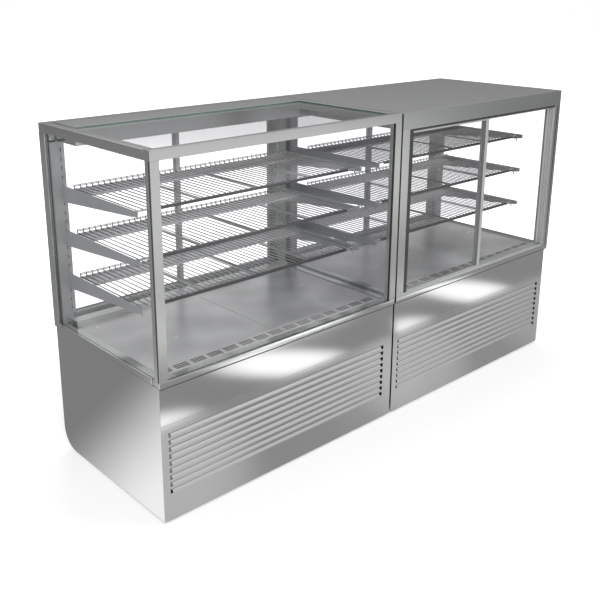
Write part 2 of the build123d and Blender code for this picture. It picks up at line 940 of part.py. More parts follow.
def front_doors(bay):
    x_from = bay.start + bay.front_post
    x_to = bay.end - bay.front_post
    top_track_low = bay.rail_bottom - front_track_height
    tracks = [
        door_track(x_from, x_to, front_track_front, sill_top, front_track_height, True),
        door_track(x_from, x_to, front_track_front, top_track_low, front_track_height, False),
    ]
    z_low = sill_top + track_floor + leaf_lift
    z_high = top_track_low + front_leaf_entry
    left_span, right_span = leaf_span(x_from + jamb_seal / 2, x_to - jamb_seal / 2)
    leaves = (("outer", 0, left_span, True), ("inner", 1, right_span, False))
    for name, lane, span, grip_left in leaves:
        y = lane_front(front_track_front, lane)
        left_stile = front_jamb_stile if grip_left else front_meeting_stile
        right_stile = front_meeting_stile if grip_left else front_jamb_stile
        save(f"{bay.name}_front_door_{name}",
             *leaf_frame(*span, y, z_low, z_high, left_stile, right_stile, front_leaf_rail, grip_left))
        save(f"{bay.name}_front_door_{name}_glass",
             leaf_glass(*span, y, z_low, z_high, left_stile, right_stile, front_leaf_rail))
    return tracks


def seals(bay):
    # the gaskets beside the rear posts and, where the front has doors, its jamb brushes
    near, far = glass_band(bay.start, 1)
    y_to = rear - rear_post_size
    gasket_piece = block(far, far + gasket, y_to - gasket, y_to, sill_top, bay.rail_bottom)
    pieces = bay.both_ends(gasket_piece)
    if bay.has_front_doors:
        x_from = bay.start + bay.front_post
        low = sill_top + front_track_height
        high = bay.rail_bottom - front_track_height
        brush = block(x_from, x_from + jamb_seal / 2 - fit, front_track_front,
                      front_track_front + track_width, low, high)
        pieces += bay.both_ends(brush)
    return pieces


# Refrigeration


def compressor(bay):
    # a welded shell on a mounting plate with four grommets
    x = bay.start + compressor_from_left
    y = front + compressor_from_front
    floor = foot_height + pan_rim
    low = floor + mount_foot_height
    radius = compressor_radius
    shoulder = compressor_height * shoulder_share
    body = sided_bar("z", (x, y, low + mount_plate), radius, shoulder, shell_sides)
    crown = extrude(RegularPolygon(radius, shell_sides), amount=compressor_height - shoulder,
                    taper=crown_taper)
    body += Pos(x, y, low + mount_plate + shoulder) * crown
    plate = block(x - radius - mount_margin, x + radius + mount_margin, y - radius, y + radius,
                  low, low + mount_plate)
    shell = body + plate
    grommets = []
    for x_side in (-1, 1):
        for y_side in (-1, 1):
            place = (x + x_side * (radius + mount_margin - grommet_radius),
                     y + y_side * (radius - mount_margin), floor)
            grommets.append(sided_bar("z", place, grommet_radius, mount_foot_height, small_sides))
    return [shell] + grommets


def finned_coil(x_from, length, y_from, depth, z_low, height):
    # a coil block with fins standing out of its front face
    pitch = length / fin_count
    core = y_from + depth * fin_depth_share
    outline = [(x_from, y_from + depth), (x_from, y_from)]
    for step in range(fin_count):
        x = x_from + pitch * step
        outline += [(x + pitch * fin_share, y_from), (x + pitch * fin_share, core), (x + pitch, core)]
        if step < fin_count - 1:
            outline.append((x + pitch, y_from))
    outline.append((x_from + length, y_from + depth))
    return bar_z(outline, z_low, z_low + height)


def fan_rotor(centre, radius):
    # hub and pitched blades, turning about a line along Y, bored for its shaft
    hub_radius = radius * fan_hub_share
    hub_length = fan_duct * fan_hub_length_share
    half_chord = radius * fan_blade_width_share / 2
    tip = math.sqrt(radius ** 2 - half_chord ** 2)
    blade_length = tip - hub_radius + fan_blade_root
    flat_blade = Box(blade_length, 2 * half_chord, fan_blade_thickness)
    blade = Pos(tip - blade_length / 2, 0, 0) * Rot(fan_blade_pitch, 0, 0) * flat_blade
    blades = [Rot(0, 0, 360 / fan_blade_count * step) * blade for step in range(fan_blade_count)]
    hub = Pos(0, 0, -hub_length / 2) * extrude(RegularPolygon(hub_radius, hub_sides), amount=hub_length)
    bore_radius = (shaft_radius + shaft_clearance) / math.cos(math.pi / bore_sides)
    bore = Pos(0, 0, -fan_duct) * extrude(RegularPolygon(bore_radius, bore_sides), amount=2 * fan_duct)
    return Pos(*centre) * Rot(90, 0, 0) * (hub + blades - bore)


def fan_mount(centre, radius, z_low, z_high):
    # the plate with its round inlet, the motor behind it and the shaft the rotor turns on
    x, y, z = centre
    half = radius + fan_gap + fan_plate_margin
    plate_y = y + fan_duct / 2
    arm_y = plate_y + fan_plate
    shaft_y = y - fan_duct * fan_hub_length_share / 2
    plate = block(x - half, x + half, plate_y, arm_y, z_low, z_high)
    inlet = round_bar("y", (x, plate_y - 1, z), radius + fan_gap, fan_plate + 2)
    arm = block(x - half, x + half, arm_y, arm_y + motor_arm_sheet, z - motor_arm_height / 2,
                z + motor_arm_height / 2)
    motor = sided_bar("y", (x, arm_y, z), radius * motor_share, motor_length, hub_sides)
    shaft = sided_bar("y", (x, shaft_y, z), shaft_radius, arm_y - shaft_y + 1, small_sides)
    return plate - inlet + [arm, motor, shaft]


def condensing_unit(bay):
    floor = foot_height + pan_rim
    x_from = bay.start + coil_from_left
    y_coil = base_front + coil_from_front
    coil = finned_coil(x_from, coil_length, y_coil, coil_depth, floor, coil_height)
    centre = (x_from + coil_length / 2, y_coil + coil_depth + fan_duct, floor + coil_height / 2)
    return coil, centre, floor


def cold_unit(bay):
    floor = well_bottom + well_wall
    high = deck_top - tray_rim - cold_coil_head_room
    coil = finned_coil(bay.centre - coil_length, 2 * coil_length, front + cold_coil_from_front,
                       cold_coil_depth, floor, high - floor)
    centre = (bay.centre, front + cold_fan_from_front, (floor + high) / 2)
    return coil, centre, floor, high


# Controls, feet and bolts


def controller(bay):
    x, _ = control_places(bay)
    w = controller_width / 2
    h = controller_height / 2
    bezel_plate = block(x - w, x + w, base_rear, base_rear + bezel, control_z - h, control_z + h)
    window = block(x - w + 2 * bezel, x + w - 5 * bezel, base_rear + bezel - 1, base_rear + bezel + 1,
                   control_z - h + 2 * bezel, control_z + h - 2 * bezel)
    body = block(x - w + bezel + fit, x + w - bezel - fit, base_rear - controller_depth, base_rear,
                 control_z - h + bezel + fit, control_z + h - bezel - fit)
    return bezel_plate - window + body


def switch_housing(bay):
    _, x = control_places(bay)
    w = switch_width / 2
    h = switch_height / 2
    well_front = base_rear + switch_frame
    rim = block(x - w - switch_frame, x + w + switch_frame, base_rear, well_front,
                control_z - h - switch_frame, control_z + h + switch_frame)
    body = block(x - w + fit, x + w - fit, base_rear - switch_depth, base_rear,
                 control_z - h + fit, control_z + h - fit)
    pocket = block(x - w + switch_frame, x + w - switch_frame, base_rear - switch_depth + switch_frame,
                   well_front + 1, control_z - h + switch_frame, control_z + h - switch_frame)
    return rim + body - pocket


def rocker(bay):
    # the rocker lies in its housing, one end down, and swings about its middle
    _, x = control_places(bay)
    w = switch_width / 2 - switch_frame - rocker_clearance
    h = switch_height / 2 - switch_frame - rocker_clearance
    tilt = math.radians(rocker_throw)
    pivot_y = base_rear + switch_frame - rocker_pivot_depth
    outline = [
        (pivot_y - 5.0, control_z - 3.0),
        (pivot_y + 3.0, control_z - h * math.cos(tilt) + 0.6),
        (pivot_y + 5.0, control_z - h * math.cos(tilt) + 1.6),
        (pivot_y + 3.4, control_z),
        (pivot_y + 2.2, control_z + h * math.cos(tilt) - 1.4),
        (pivot_y - 1.0, control_z + h * math.cos(tilt) - 2.4),
        (pivot_y - 5.0, control_z + 3.0),
    ]
    return bar_x(outline, x - w, x + w)


def gland(bay):
    # the cable gland in the rear panel: a hexagonal nut, a neck through the sheet and a bore
    near = base_rear - gland_neck
    nut = sided_bar("y", (bay.centre, base_rear, gland_z), gland_radius, gland_length, 6)
    neck = sided_bar("y", (bay.centre, near, gland_z), gland_bore + sheet - shaft_clearance, gland_neck,
                     bore_sides)
    bore = sided_bar("y", (bay.centre, near - 1, gland_z), gland_bore, gland_neck + gland_length + 2,
                     bore_sides)
    return nut + neck - bore


def feet(bay):
    pieces = []
    x_from = bay.start + cheek_width + foot_from_cheek
    x_to = bay.base_end - cheek_width - foot_from_cheek
    for x in (x_from, x_to):
        for y in (base_front + foot_from_front, base_rear - rear_corner_radius - foot_from_cheek):
            pad = sided_bar("z", (x, y, 0), foot_radius, foot_pad, small_sides)
            neck = sided_bar("z", (x, y, foot_pad), foot_neck_radius, foot_height - foot_pad, 6)
            pieces.append(pad + neck)
    return pieces


def joining_bolts():
    # four hexagonal fasteners between the two cheeks that face each other
    pieces = []
    for y in (front + bolt_from_front, rear - bolt_from_rear):
        for z in (bolt_low, bolt_high):
            pieces.append(sided_bar("x", (bays[0].end, y, z), bolt_radius, bay_gap, 6))
    return pieces


# Save the pieces of both cabinets

for bay in bays:
    save(f"{bay.name}_louvre_panel", louvre_panel(bay))
    save(f"{bay.name}_sill_frame", *sill_frame(bay))
    posts = bay.both_ends(front_post_piece(bay)) + bay.both_ends(rear_post_piece(bay))
    save(f"{bay.name}_corner_posts", *posts)
    save(f"{bay.name}_top_frame", *top_frame(bay))
    for level, height in zip(("top", "middle", "bottom"), shelf_heights):
        save(f"{bay.name}_wire_shelf_{level}", *wire_rack(bay, height), carrier(bay, height))

left_bay, right_bay = bays
save("left_top_glass", top_pane(left_bay))
save("left_front_glass", front_pane(left_bay))
save("right_lid", lid(right_bay))

tracks = []
mounts = []
coils = []
cold_mounts = []
cold_coils = []
for bay in bays:
    tracks += rear_doors(bay)
    coil, centre, floor = condensing_unit(bay)
    coils.append(coil)
    mounts.append(fan_mount(centre, condenser_fan_radius, floor, floor + coil_height))
    save(f"{bay.name}_condenser_fan_rotor", fan_rotor(centre, condenser_fan_radius))
    coil, centre, floor, high = cold_unit(bay)
    cold_coils.append(coil)
    cold_mounts.append(fan_mount(centre, evaporator_fan_radius, floor, high))
    save(f"{bay.name}_evaporator_fan_rotor", fan_rotor(centre, evaporator_fan_radius))
    save(f"{bay.name}_rocker_switch", rocker(bay))
tracks += front_doors(right_bay)


def for_both(maker):
    pieces = []
    for bay in bays:
        made = maker(bay)
        pieces += made if isinstance(made, list) else [made]
    return pieces


def cheeks(bay):
    return [cheek(bay.start, 1), cheek(bay.base_end, -1)]


save("end_panels", *for_both(cheeks))
save("front_bands", *for_both(front_band))
save("rear_panels", *for_both(rear_panel))
save("base_pans", *for_both(base_pan))
save("base_posts", *for_both(corner_angles))
save("cold_wells", *for_both(cold_well))
save("deck_trays", *for_both(deck_trays))
save("air_grilles", *for_both(return_grille), *for_both(supply_duct))
save("side_glass_panes", *for_both(lambda bay: bay.both_ends(side_pane(bay))))
save("rear_headers", *for_both(header))
save("shelf_uprights", *for_both(lambda bay: bay.both_ends(upright(bay))))
arms = []
strips = []
for bay in bays:
    for height in shelf_heights:
        arms += bay.both_ends(bracket(bay, height))
        strips += light_strip(bay, height)
save("shelf_brackets", *arms)
save("shelf_light_strips", *strips)
save("door_tracks", *tracks)
save("glass_seals", *for_both(seals))
save("levelling_feet", *for_both(feet))
save("compressors", *for_both(compressor))
save("condenser_coils", *coils)
save("condenser_fan_mounts", *mounts)
save("evaporator_coils", *cold_coils)
save("evaporator_fan_mounts", *cold_mounts)
save("controllers", *for_both(controller))
save("switch_housings", *for_both(switch_housing))
save("cable_glands", *for_both(gland))
save("joining_bolts", *joining_bolts())
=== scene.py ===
import json
import math

import bmesh
import bpy
from mathutils import Matrix, Vector

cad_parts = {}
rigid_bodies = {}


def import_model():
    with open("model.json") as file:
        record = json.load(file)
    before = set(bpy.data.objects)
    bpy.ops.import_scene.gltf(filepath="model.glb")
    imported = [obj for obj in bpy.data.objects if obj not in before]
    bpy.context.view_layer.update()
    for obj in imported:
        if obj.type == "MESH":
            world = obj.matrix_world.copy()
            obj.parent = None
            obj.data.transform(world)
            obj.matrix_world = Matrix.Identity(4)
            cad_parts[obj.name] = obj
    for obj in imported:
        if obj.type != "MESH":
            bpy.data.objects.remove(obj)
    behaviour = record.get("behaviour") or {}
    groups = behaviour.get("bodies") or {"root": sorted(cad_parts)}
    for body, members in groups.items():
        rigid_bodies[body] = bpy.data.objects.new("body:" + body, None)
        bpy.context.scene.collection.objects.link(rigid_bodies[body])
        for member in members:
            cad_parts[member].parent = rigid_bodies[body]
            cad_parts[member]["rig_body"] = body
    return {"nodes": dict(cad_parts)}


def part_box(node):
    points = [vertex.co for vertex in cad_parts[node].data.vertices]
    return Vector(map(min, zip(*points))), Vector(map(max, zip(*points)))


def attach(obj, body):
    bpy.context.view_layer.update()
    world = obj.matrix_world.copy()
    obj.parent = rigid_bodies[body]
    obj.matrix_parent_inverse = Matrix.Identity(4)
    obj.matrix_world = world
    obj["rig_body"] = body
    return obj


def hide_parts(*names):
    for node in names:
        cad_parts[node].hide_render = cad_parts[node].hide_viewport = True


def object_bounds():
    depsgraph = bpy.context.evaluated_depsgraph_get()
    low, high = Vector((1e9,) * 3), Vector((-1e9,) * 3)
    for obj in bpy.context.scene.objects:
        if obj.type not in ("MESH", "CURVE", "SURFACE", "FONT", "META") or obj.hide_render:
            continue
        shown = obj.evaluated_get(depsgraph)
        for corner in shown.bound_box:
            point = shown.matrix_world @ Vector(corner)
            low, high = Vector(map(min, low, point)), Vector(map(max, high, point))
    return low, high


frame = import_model()
cadLow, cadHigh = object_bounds()
scene = bpy.context.scene
nodes = frame["nodes"]
print("frame loaded:", len(nodes), "nodes")


# Shader graph helpers

class Signal:
    # a socket that can stand in a Python expression
    def __init__(self, graph, socket):
        self.graph = graph
        self.socket = socket

    def maths(self, operation, first, second=None):
        values = {0: first} if second is None else {0: first, 1: second}
        return self.graph.node("ShaderNodeMath", {"operation": operation}, values)

    def __add__(self, other):
        return self.maths("ADD", self, other)

    def __sub__(self, other):
        return self.maths("SUBTRACT", self, other)

    def __rsub__(self, other):
        return self.maths("SUBTRACT", other, self)

    def __mul__(self, other):
        return self.maths("MULTIPLY", self, other)

    def __truediv__(self, other):
        return self.maths("DIVIDE", self, other)

    def __rtruediv__(self, other):
        return self.maths("DIVIDE", other, self)

    def __pow__(self, other):
        return self.maths("POWER", self, other)

    __radd__ = __add__
    __rmul__ = __mul__

    def most(self, other):
        return self.maths("MAXIMUM", self, other)

    def size(self):
        return self.maths("ABSOLUTE", self)


class Graph:
    def __init__(self, tree):
        self.tree = tree
        tree.nodes.clear()

    def node(self, kind, settings=None, values=None, out=0):
        made = self.tree.nodes.new(kind)
        for name, value in (settings or {}).items():
            if name == "stops":
                ramp = made.color_ramp
                while len(ramp.elements) < len(value):
                    ramp.elements.new(0.5)
                for element, (place, shade) in zip(ramp.elements, value):
                    element.position = place
                    element.color = (*shade, 1.0)
            else:
                setattr(made, name, value)
        for name, value in (values or {}).items():
            if isinstance(value, Signal):
                self.tree.links.new(value.socket, made.inputs[name])
            else:
                made.inputs[name].default_value = value
        return Signal(self, made.outputs[out])

    def blend(self, factor, first, second):
        return self.node("ShaderNodeMix", {"data_type": "RGBA"},
                         {0: factor, 6: first, 7: second}, out=2)

    def place(self, scale=(1, 1, 1)):
        where = self.node("ShaderNodeTexCoord", out="Object")
        return self.node("ShaderNodeMapping", None, {"Vector": where, "Scale": scale})

    def axes(self):
        # the x, y and z of the point, one signal each
        where = self.node("ShaderNodeTexCoord", out="Object")
        return [self.node("ShaderNodeSeparateXYZ", None, {0: where}, out=name) for name in "XYZ"]

    def noise(self, vector, scale, detail, roughness):
        return self.node("ShaderNodeTexNoise", None,
                         {"Vector": vector, "Scale": scale, "Detail": detail,
                          "Roughness": roughness})

    def spread(self, signal, low, high, newLow=0.0, newHigh=1.0):
        return self.node("ShaderNodeMapRange", {"interpolation_type": "SMOOTHSTEP"},
                         {"Value": signal, "From Min": low, "From Max": high,
                          "To Min": newLow, "To Max": newHigh})

    def finish(self, shader, kind="ShaderNodeOutputMaterial"):
        end = self.tree.nodes.new(kind)
        self.tree.links.new(shader.socket, end.inputs["Surface"])


def openGraph(block):
    block.use_nodes = True
    return Graph(block.node_tree)


def solid(*rgb):
    return (*rgb, 1.0)


# Finishes

finishes = {}

# what all the metals share: the colour of their streaks, and faint marks from handling
metalWear = {
    "streakColour": (0.30, 0.30, 0.30), "markColour": (0.42, 0.42, 0.41), "marks": 0.03,
    "markStretch": (1, 1, 1.7), "markSize": 21.0, "markRange": (0.62, 0.80),
    "cloudRange": (0.3, 0.7), "grainHeight": 0.0002,
}


def brushedMetal(name, look):
    # rolled or brushed metal: fine streaks one way, faint clouding and handling marks
    material = bpy.data.materials.new(name)
    g = openGraph(material)
    streaks = g.noise(g.place(look["stretch"]), look["grain"], detail=4.0, roughness=0.6)
    clouds = g.noise(g.place(), look["cloudSize"], detail=2.0, roughness=0.5)
    marks = g.noise(g.place(metalWear["markStretch"]), metalWear["markSize"],
                    detail=5.0, roughness=0.7)
    marks = g.spread(marks, *metalWear["markRange"]) * metalWear["marks"]
    darker = solid(*(c * look["depth"] for c in look["colour"]))
    colour = g.blend(g.spread(clouds, *metalWear["cloudRange"]), darker, solid(*look["colour"]))
    lines = (streaks - 0.5).size() * look.get("line", 0.10)
    colour = g.blend(lines, colour, solid(*metalWear["streakColour"]))
    colour = g.blend(marks, colour, solid(*metalWear["markColour"]))
    bump = g.node("ShaderNodeBump", None,
                  {"Height": streaks, "Strength": look["bump"],
                   "Distance": metalWear["grainHeight"]})
    rough = look["rough"] + (streaks - 0.5) * look["roughVary"] + marks
    g.finish(g.node("ShaderNodeBsdfPrincipled", None,
                    {"Base Color": colour, "Metallic": look.get("metal", 1.0),
                     "Roughness": rough, "Normal": bump}))
    finishes[name] = material


# line and metal stand only where a finish differs from 0.10 and 1.0
metalLooks = {
    "stainlessPanel": {"colour": (0.60, 0.605, 0.60), "depth": 0.97, "rough": 0.11,
                       "roughVary": 0.04, "grain": 90.0, "stretch": (0.05, 0.05, 6.0),
                       "cloudSize": 2.2, "bump": 0.03},
    "stainlessFrame": {"colour": (0.61, 0.622, 0.608), "depth": 0.97, "rough": 0.22,
                       "roughVary": 0.05, "grain": 70.0, "stretch": (3.0, 3.0, 0.05),
                       "cloudSize": 3.0, "bump": 0.02, "line": 0.06},
    "stainlessRail": {"colour": (0.61, 0.62, 0.61), "depth": 0.97, "rough": 0.22,
                      "roughVary": 0.05, "grain": 70.0, "stretch": (0.05, 0.05, 5.0),
                      "cloudSize": 3.0, "bump": 0.02, "line": 0.06},
    "stainlessTop": {"colour": (0.58, 0.59, 0.59), "depth": 0.97, "rough": 0.24,
                     "roughVary": 0.06, "grain": 90.0, "stretch": (0.05, 6.0, 6.0),
                     "cloudSize": 1.8, "bump": 0.03},
    "sillSteel": {"colour": (0.61, 0.62, 0.61), "depth": 0.97, "rough": 0.13,
                  "roughVary": 0.04, "grain": 70.0, "stretch": (0.05, 0.05, 5.0),
                  "cloudSize": 3.0, "bump": 0.02, "line": 0.06},
    "stainlessDeck": {"colour": (0.80, 0.805, 0.80), "depth": 0.66, "rough": 0.26,
                      "roughVary": 0.02, "grain": 80.0, "stretch": (0.05, 6.0, 6.0),
                      "cloudSize": 2.8, "bump": 0.004, "line": 0.02, "metal": 0.50},
    "chromedWire": {"colour": (0.60, 0.60, 0.60), "depth": 0.94, "rough": 0.22,
                    "roughVary": 0.06, "grain": 160.0, "stretch": (1.0, 1.0, 1.0),
                    "cloudSize": 6.0, "bump": 0.03},
    "bracketSteel": {"colour": (0.45, 0.46, 0.465), "depth": 0.94, "rough": 0.30,
                     "roughVary": 0.08, "grain": 110.0, "stretch": (0.3, 0.3, 3.0),
                     "cloudSize": 4.0, "bump": 0.04, "metal": 0.45},
    "rackSteel": {"colour": (0.62, 0.625, 0.63), "depth": 0.94, "rough": 0.28,
                  "roughVary": 0.08, "grain": 110.0, "stretch": (3.0, 3.0, 0.3),
                  "cloudSize": 5.0, "bump": 0.03, "metal": 0.75},
    "doorAluminium": {"colour": (0.62, 0.63, 0.63), "depth": 0.97, "rough": 0.32,
                      "roughVary": 0.05, "grain": 120.0, "stretch": (2.0, 2.0, 0.2),
                      "cloudSize": 3.0, "bump": 0.03, "metal": 0.65},
    "galvanised": {"colour": (0.55, 0.56, 0.57), "depth": 0.80, "rough": 0.42,
                   "roughVary": 0.16, "grain": 55.0, "stretch": (1.0, 1.0, 1.0),
                   "cloudSize": 38.0, "bump": 0.05},
    "coilFins": {"colour": (0.66, 0.66, 0.66), "depth": 0.85, "rough": 0.40,
                 "roughVary": 0.10, "grain": 140.0, "stretch": (1.0, 1.0, 4.0),
                 "cloudSize": 10.0, "bump": 0.10},
    "footSteel": {"colour": (0.52, 0.52, 0.52), "depth": 0.85, "rough": 0.36,
                  "roughVary": 0.10, "grain": 120.0, "stretch": (1.0, 1.0, 1.0),
                  "cloudSize": 20.0, "bump": 0.06},
}
for name, look in metalLooks.items():
    brushedMetal(name, look)


# what all the plastics, rubbers and paints share
plainWear = {
    "driftSize": 7.0, "driftRange": (0.3, 0.7), "dustSize": 30.0, "dustRange": (0.55, 0.8),
    "dustColour": (0.34, 0.33, 0.31), "roughVary": 0.14, "grainHeight": 0.0004,
}


def paintOrPlastic(name, look):
    # moulded plastic, rubber or paint: fine grain, faint colour drift, a soft gloss
    material = bpy.data.materials.new(name)
    g = openGraph(material)
    grain = g.noise(g.place(), look["grain"], detail=4.0, roughness=0.6)
    drift = g.noise(g.place(), plainWear["driftSize"], detail=3.0, roughness=0.5)
    dust = g.noise(g.place(), plainWear["dustSize"], detail=5.0, roughness=0.65)
    dust = g.spread(dust, *plainWear["dustRange"]) * look["dust"]
    colour = g.blend(g.spread(drift, *plainWear["driftRange"]), solid(*look["colour"]),
                     solid(*look["drift"]))
    colour = g.blend(dust, colour, solid(*plainWear["dustColour"]))
    bump = g.node("ShaderNodeBump", None,
                  {"Height": grain, "Strength": look["bump"],
                   "Distance": plainWear["grainHeight"]})
    rough = look["rough"] + (grain - 0.5) * plainWear["roughVary"]
    g.finish(g.node("ShaderNodeBsdfPrincipled", None,
                    {"Base Color": colour, "Roughness": rough, "Normal": bump}))
    finishes[name] = material


plainLooks = {
    "sealRubber": {"colour": (0.035, 0.038, 0.036), "drift": (0.050, 0.054, 0.050),
                   "grain": 260.0, "rough": 0.58, "bump": 0.25, "dust": 0.08},
    "blackPlastic": {"colour": (0.022, 0.022, 0.024), "drift": (0.034, 0.034, 0.036),
                     "grain": 420.0, "rough": 0.42, "bump": 0.20, "dust": 0.08},
    "fanPlastic": {"colour": (0.045, 0.046, 0.05), "drift": (0.06, 0.062, 0.066),
                   "grain": 300.0, "rough": 0.45, "bump": 0.15, "dust": 0.18},
    "compressorPaint": {"colour": (0.018, 0.018, 0.019), "drift": (0.03, 0.03, 0.031),
                        "grain": 120.0, "rough": 0.28, "bump": 0.30, "dust": 0.15},
    "wellLiner": {"colour": (0.62, 0.64, 0.65), "drift": (0.56, 0.58, 0.59),
                  "grain": 90.0, "rough": 0.50, "bump": 0.12, "dust": 0.10},
    "stripHousing": {"colour": (0.030, 0.031, 0.033), "drift": (0.042, 0.043, 0.046),
                     "grain": 240.0, "rough": 0.36, "bump": 0.10, "dust": 0.06},
    "stripDiffuser": {"colour": (0.78, 0.79, 0.78), "drift": (0.84, 0.85, 0.84),
                      "grain": 300.0, "rough": 0.30, "bump": 0.05, "dust": 0.02},
}
for name, look in plainLooks.items():
    paintOrPlastic(name, look)


# what all the glass shares: headOn is how much of a mirror it is when seen straight on
glassWear = {"headOn": 0.04, "smearRange": (0.45, 0.75), "smearShine": 0.004, "rough": 0.015}


def clearGlass(name, look):
    # a clear pane: a faint tint straight through, and a mirror that grows at low angles
    material = bpy.data.materials.new(name)
    g = openGraph(material)
    smear = g.noise(g.place(), look["smearSize"], detail=4.0, roughness=0.55)
    smear = g.spread(smear, *glassWear["smearRange"])
    facing = g.node("ShaderNodeLayerWeight", None, {"Blend": 0.5}, out="Facing")
    mirror = glassWear["headOn"] + facing ** 5 * (1 - glassWear["headOn"])
    through = g.node("ShaderNodeBsdfTransparent", None, {"Color": solid(*look["tint"])})
    shine = g.node("ShaderNodeBsdfPrincipled", None,
                   {"Base Color": solid(*look["shine"]), "Metallic": 1.0,
                    "Roughness": glassWear["rough"] + smear * look["haze"]})
    g.finish(g.node("ShaderNodeMixShader", None,
                    {0: mirror * look["mirror"] + smear * glassWear["smearShine"],
                     1: through, 2: shine}))
    finishes[name] = material


glassLooks = {
    "paneGlass": {"tint": (0.946, 0.946, 0.957), "shine": (0.95, 0.96, 0.96), "mirror": 1.2,
                  "smearSize": 5.0, "haze": 0.03},
    "paneEdge": {"tint": (0.62, 0.71, 0.67), "shine": (0.66, 0.76, 0.72), "mirror": 2.0,
                 "smearSize": 40.0, "haze": 0.15},
}
for name, look in glassLooks.items():
    clearGlass(name, look)
print("finishes made:", len(finishes))


# Mesh helpers

merging = {"distance": 0.00001, "flatAngle": 1.0}   # when a CAD mesh's triangles become faces
near = 0.0001                   # two places closer than this are taken as one
bendMiddle = 0.3                # where a bent rod's middle point lies, as a share of its bend


def publish(name, bm, finishNames, body, stands=(), smoothAngle=32.0):
    # turns a bmesh into a named piece that rides on a body
    if stands:
        keepInside(bm, stands)
    for face in bm.faces:
        face.smooth = True
    for edge in bm.edges:
        edge.smooth = edge.is_manifold and edge.calc_face_angle(0.0) <= math.radians(smoothAngle)
    mesh = bpy.data.meshes.new(name)
    bm.to_mesh(mesh)
    bm.free()
    piece = bpy.data.objects.new(name, mesh)
    scene.collection.objects.link(piece)
    for finishName in finishNames:
        mesh.materials.append(finishes[finishName])
    even = piece.modifiers.new("evenShading", "WEIGHTED_NORMAL")
    even.keep_sharp = True
    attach(piece, body)
    if stands:
        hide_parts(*stands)


def keepInside(bm, stands):
    # no corner of a piece leaves the box of the nodes that it stands for
    lows, highs = zip(*(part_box(nodeName) for nodeName in stands))
    low = [min(corner[axis] for corner in lows) for axis in range(3)]
    high = [max(corner[axis] for corner in highs) for axis in range(3)]
    for vert in bm.verts:
        for axis in range(3):
            vert.co[axis] = min(max(vert.co[axis], low[axis]), high[axis])


def mergedCopy(nodeName):
    # a CAD node's mesh with its loose triangles joined into flat faces
    bm = bmesh.new()
    bm.from_mesh(nodes[nodeName].data)
    bmesh.ops.remove_doubles(bm, verts=bm.verts, dist=merging["distance"])
    bmesh.ops.dissolve_limit(bm, angle_limit=math.radians(merging["flatAngle"]), verts=bm.verts,
                             edges=bm.edges, delimit=set())
    return bm


def soften(bm, width, segments=2, angle=28.0):
    # rounds every edge sharper than the angle
    sharp = [e for e in bm.edges
             if e.is_manifold and e.calc_face_angle(0.0) > math.radians(angle)]
    bmesh.ops.bevel(bm, geom=sharp, offset=width, offset_type="OFFSET", segments=segments,
                    profile=0.5, affect="EDGES", clamp_overlap=True, material=-1)


def cutAlong(bm, point, normal):
    bmesh.ops.bisect_plane(bm, geom=bm.verts[:] + bm.edges[:] + bm.faces[:], plane_co=point,
                           plane_no=normal)


def vertsOf(made):
    # an operator's result holds its new vertices, edges and faces together
    return [item for item in made if isinstance(item, bmesh.types.BMVert)]


def edgesOf(made):
    return [item for item in made if isinstance(item, bmesh.types.BMEdge)]


def facesAt(verts):
    return {f for v in verts for f in v.link_faces}


def paintAt(verts, index):
    # gives the faces at these corners one of the piece's finishes, by its number
    for face in facesAt(verts):
        face.material_index = index


def paintFaces(bm, index, chosen):
    # the same for the faces whose middle is chosen
    for face in bm.faces:
        if chosen(face.calc_center_median()):
            face.material_index = index


def bar(bm, low, high, index=0):
    # a plain bar given by two corners
    low, high = Vector(low), Vector(high)
    shape = Matrix.Translation((low + high) / 2) @ Matrix.Diagonal((*(high - low), 1.0))
    verts = bmesh.ops.create_cube(bm, size=1.0, matrix=shape)["verts"]
    paintAt(verts, index)
    return verts


def rod(bm, start, finish, radius, sides):
    # a round rod between two points
    start, finish = Vector(start), Vector(finish)
    along = finish - start
    turn = along.to_track_quat("Z", "Y").to_matrix().to_4x4()
    middle = Matrix.Translation((start + finish) / 2)
    bmesh.ops.create_cone(bm, cap_ends=True, segments=sides, radius1=radius, radius2=radius,
                          depth=along.length, matrix=middle @ turn)


def sweptRod(bm, points, radius, sides, index=0):
    # one rod that follows a line of points, with a mitre at each
    points = [Vector(p) for p in points]
    heading = (points[1] - points[0]).normalized()
    turn = heading.to_track_quat("Z", "Y").to_matrix().to_4x4()
    ring = bmesh.ops.create_circle(bm, cap_ends=False, segments=sides, radius=radius,
                                   matrix=Matrix.Translation(points[0]) @ turn)["verts"]
    everyVert = set(ring)
    edges = list({e for v in ring for e in v.link_edges})
    bmesh.ops.edgeloop_fill(bm, edges=edges)
    for number, here in enumerate(points[1:], 1):
        grown = bmesh.ops.extrude_edge_only(bm, edges=edges)["geom"]
        verts = set(vertsOf(grown))
        edges = [e for e in edgesOf(grown) if all(v in verts for v in e.verts)]
        everyVert |= verts
        following = heading
        if number + 1 < len(points):
            following = (points[number + 1] - here).normalized()
        mitre = (heading + following).normalized()
        for vert in verts:
            vert.co += heading * ((here - vert.co).dot(mitre) / heading.dot(mitre))
        heading = following
    bmesh.ops.edgeloop_fill(bm, edges=edges)
    bmesh.ops.recalc_face_normals(bm, faces=list(facesAt(everyVert)))
    paintAt(everyVert, index)


def bayStart(side):
    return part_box(f"{side}_sill_frame")[0].x


# Parts whose CAD shape is right: the edges are eased and the metal gets its finish

def formedNode(nodeName, look):
    bm = mergedCopy(nodeName)
    soften(bm, look["edge"])
    publish(nodeName + "_finished", bm, [look["finish"]], nodes[nodeName]["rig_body"],
            [nodeName])


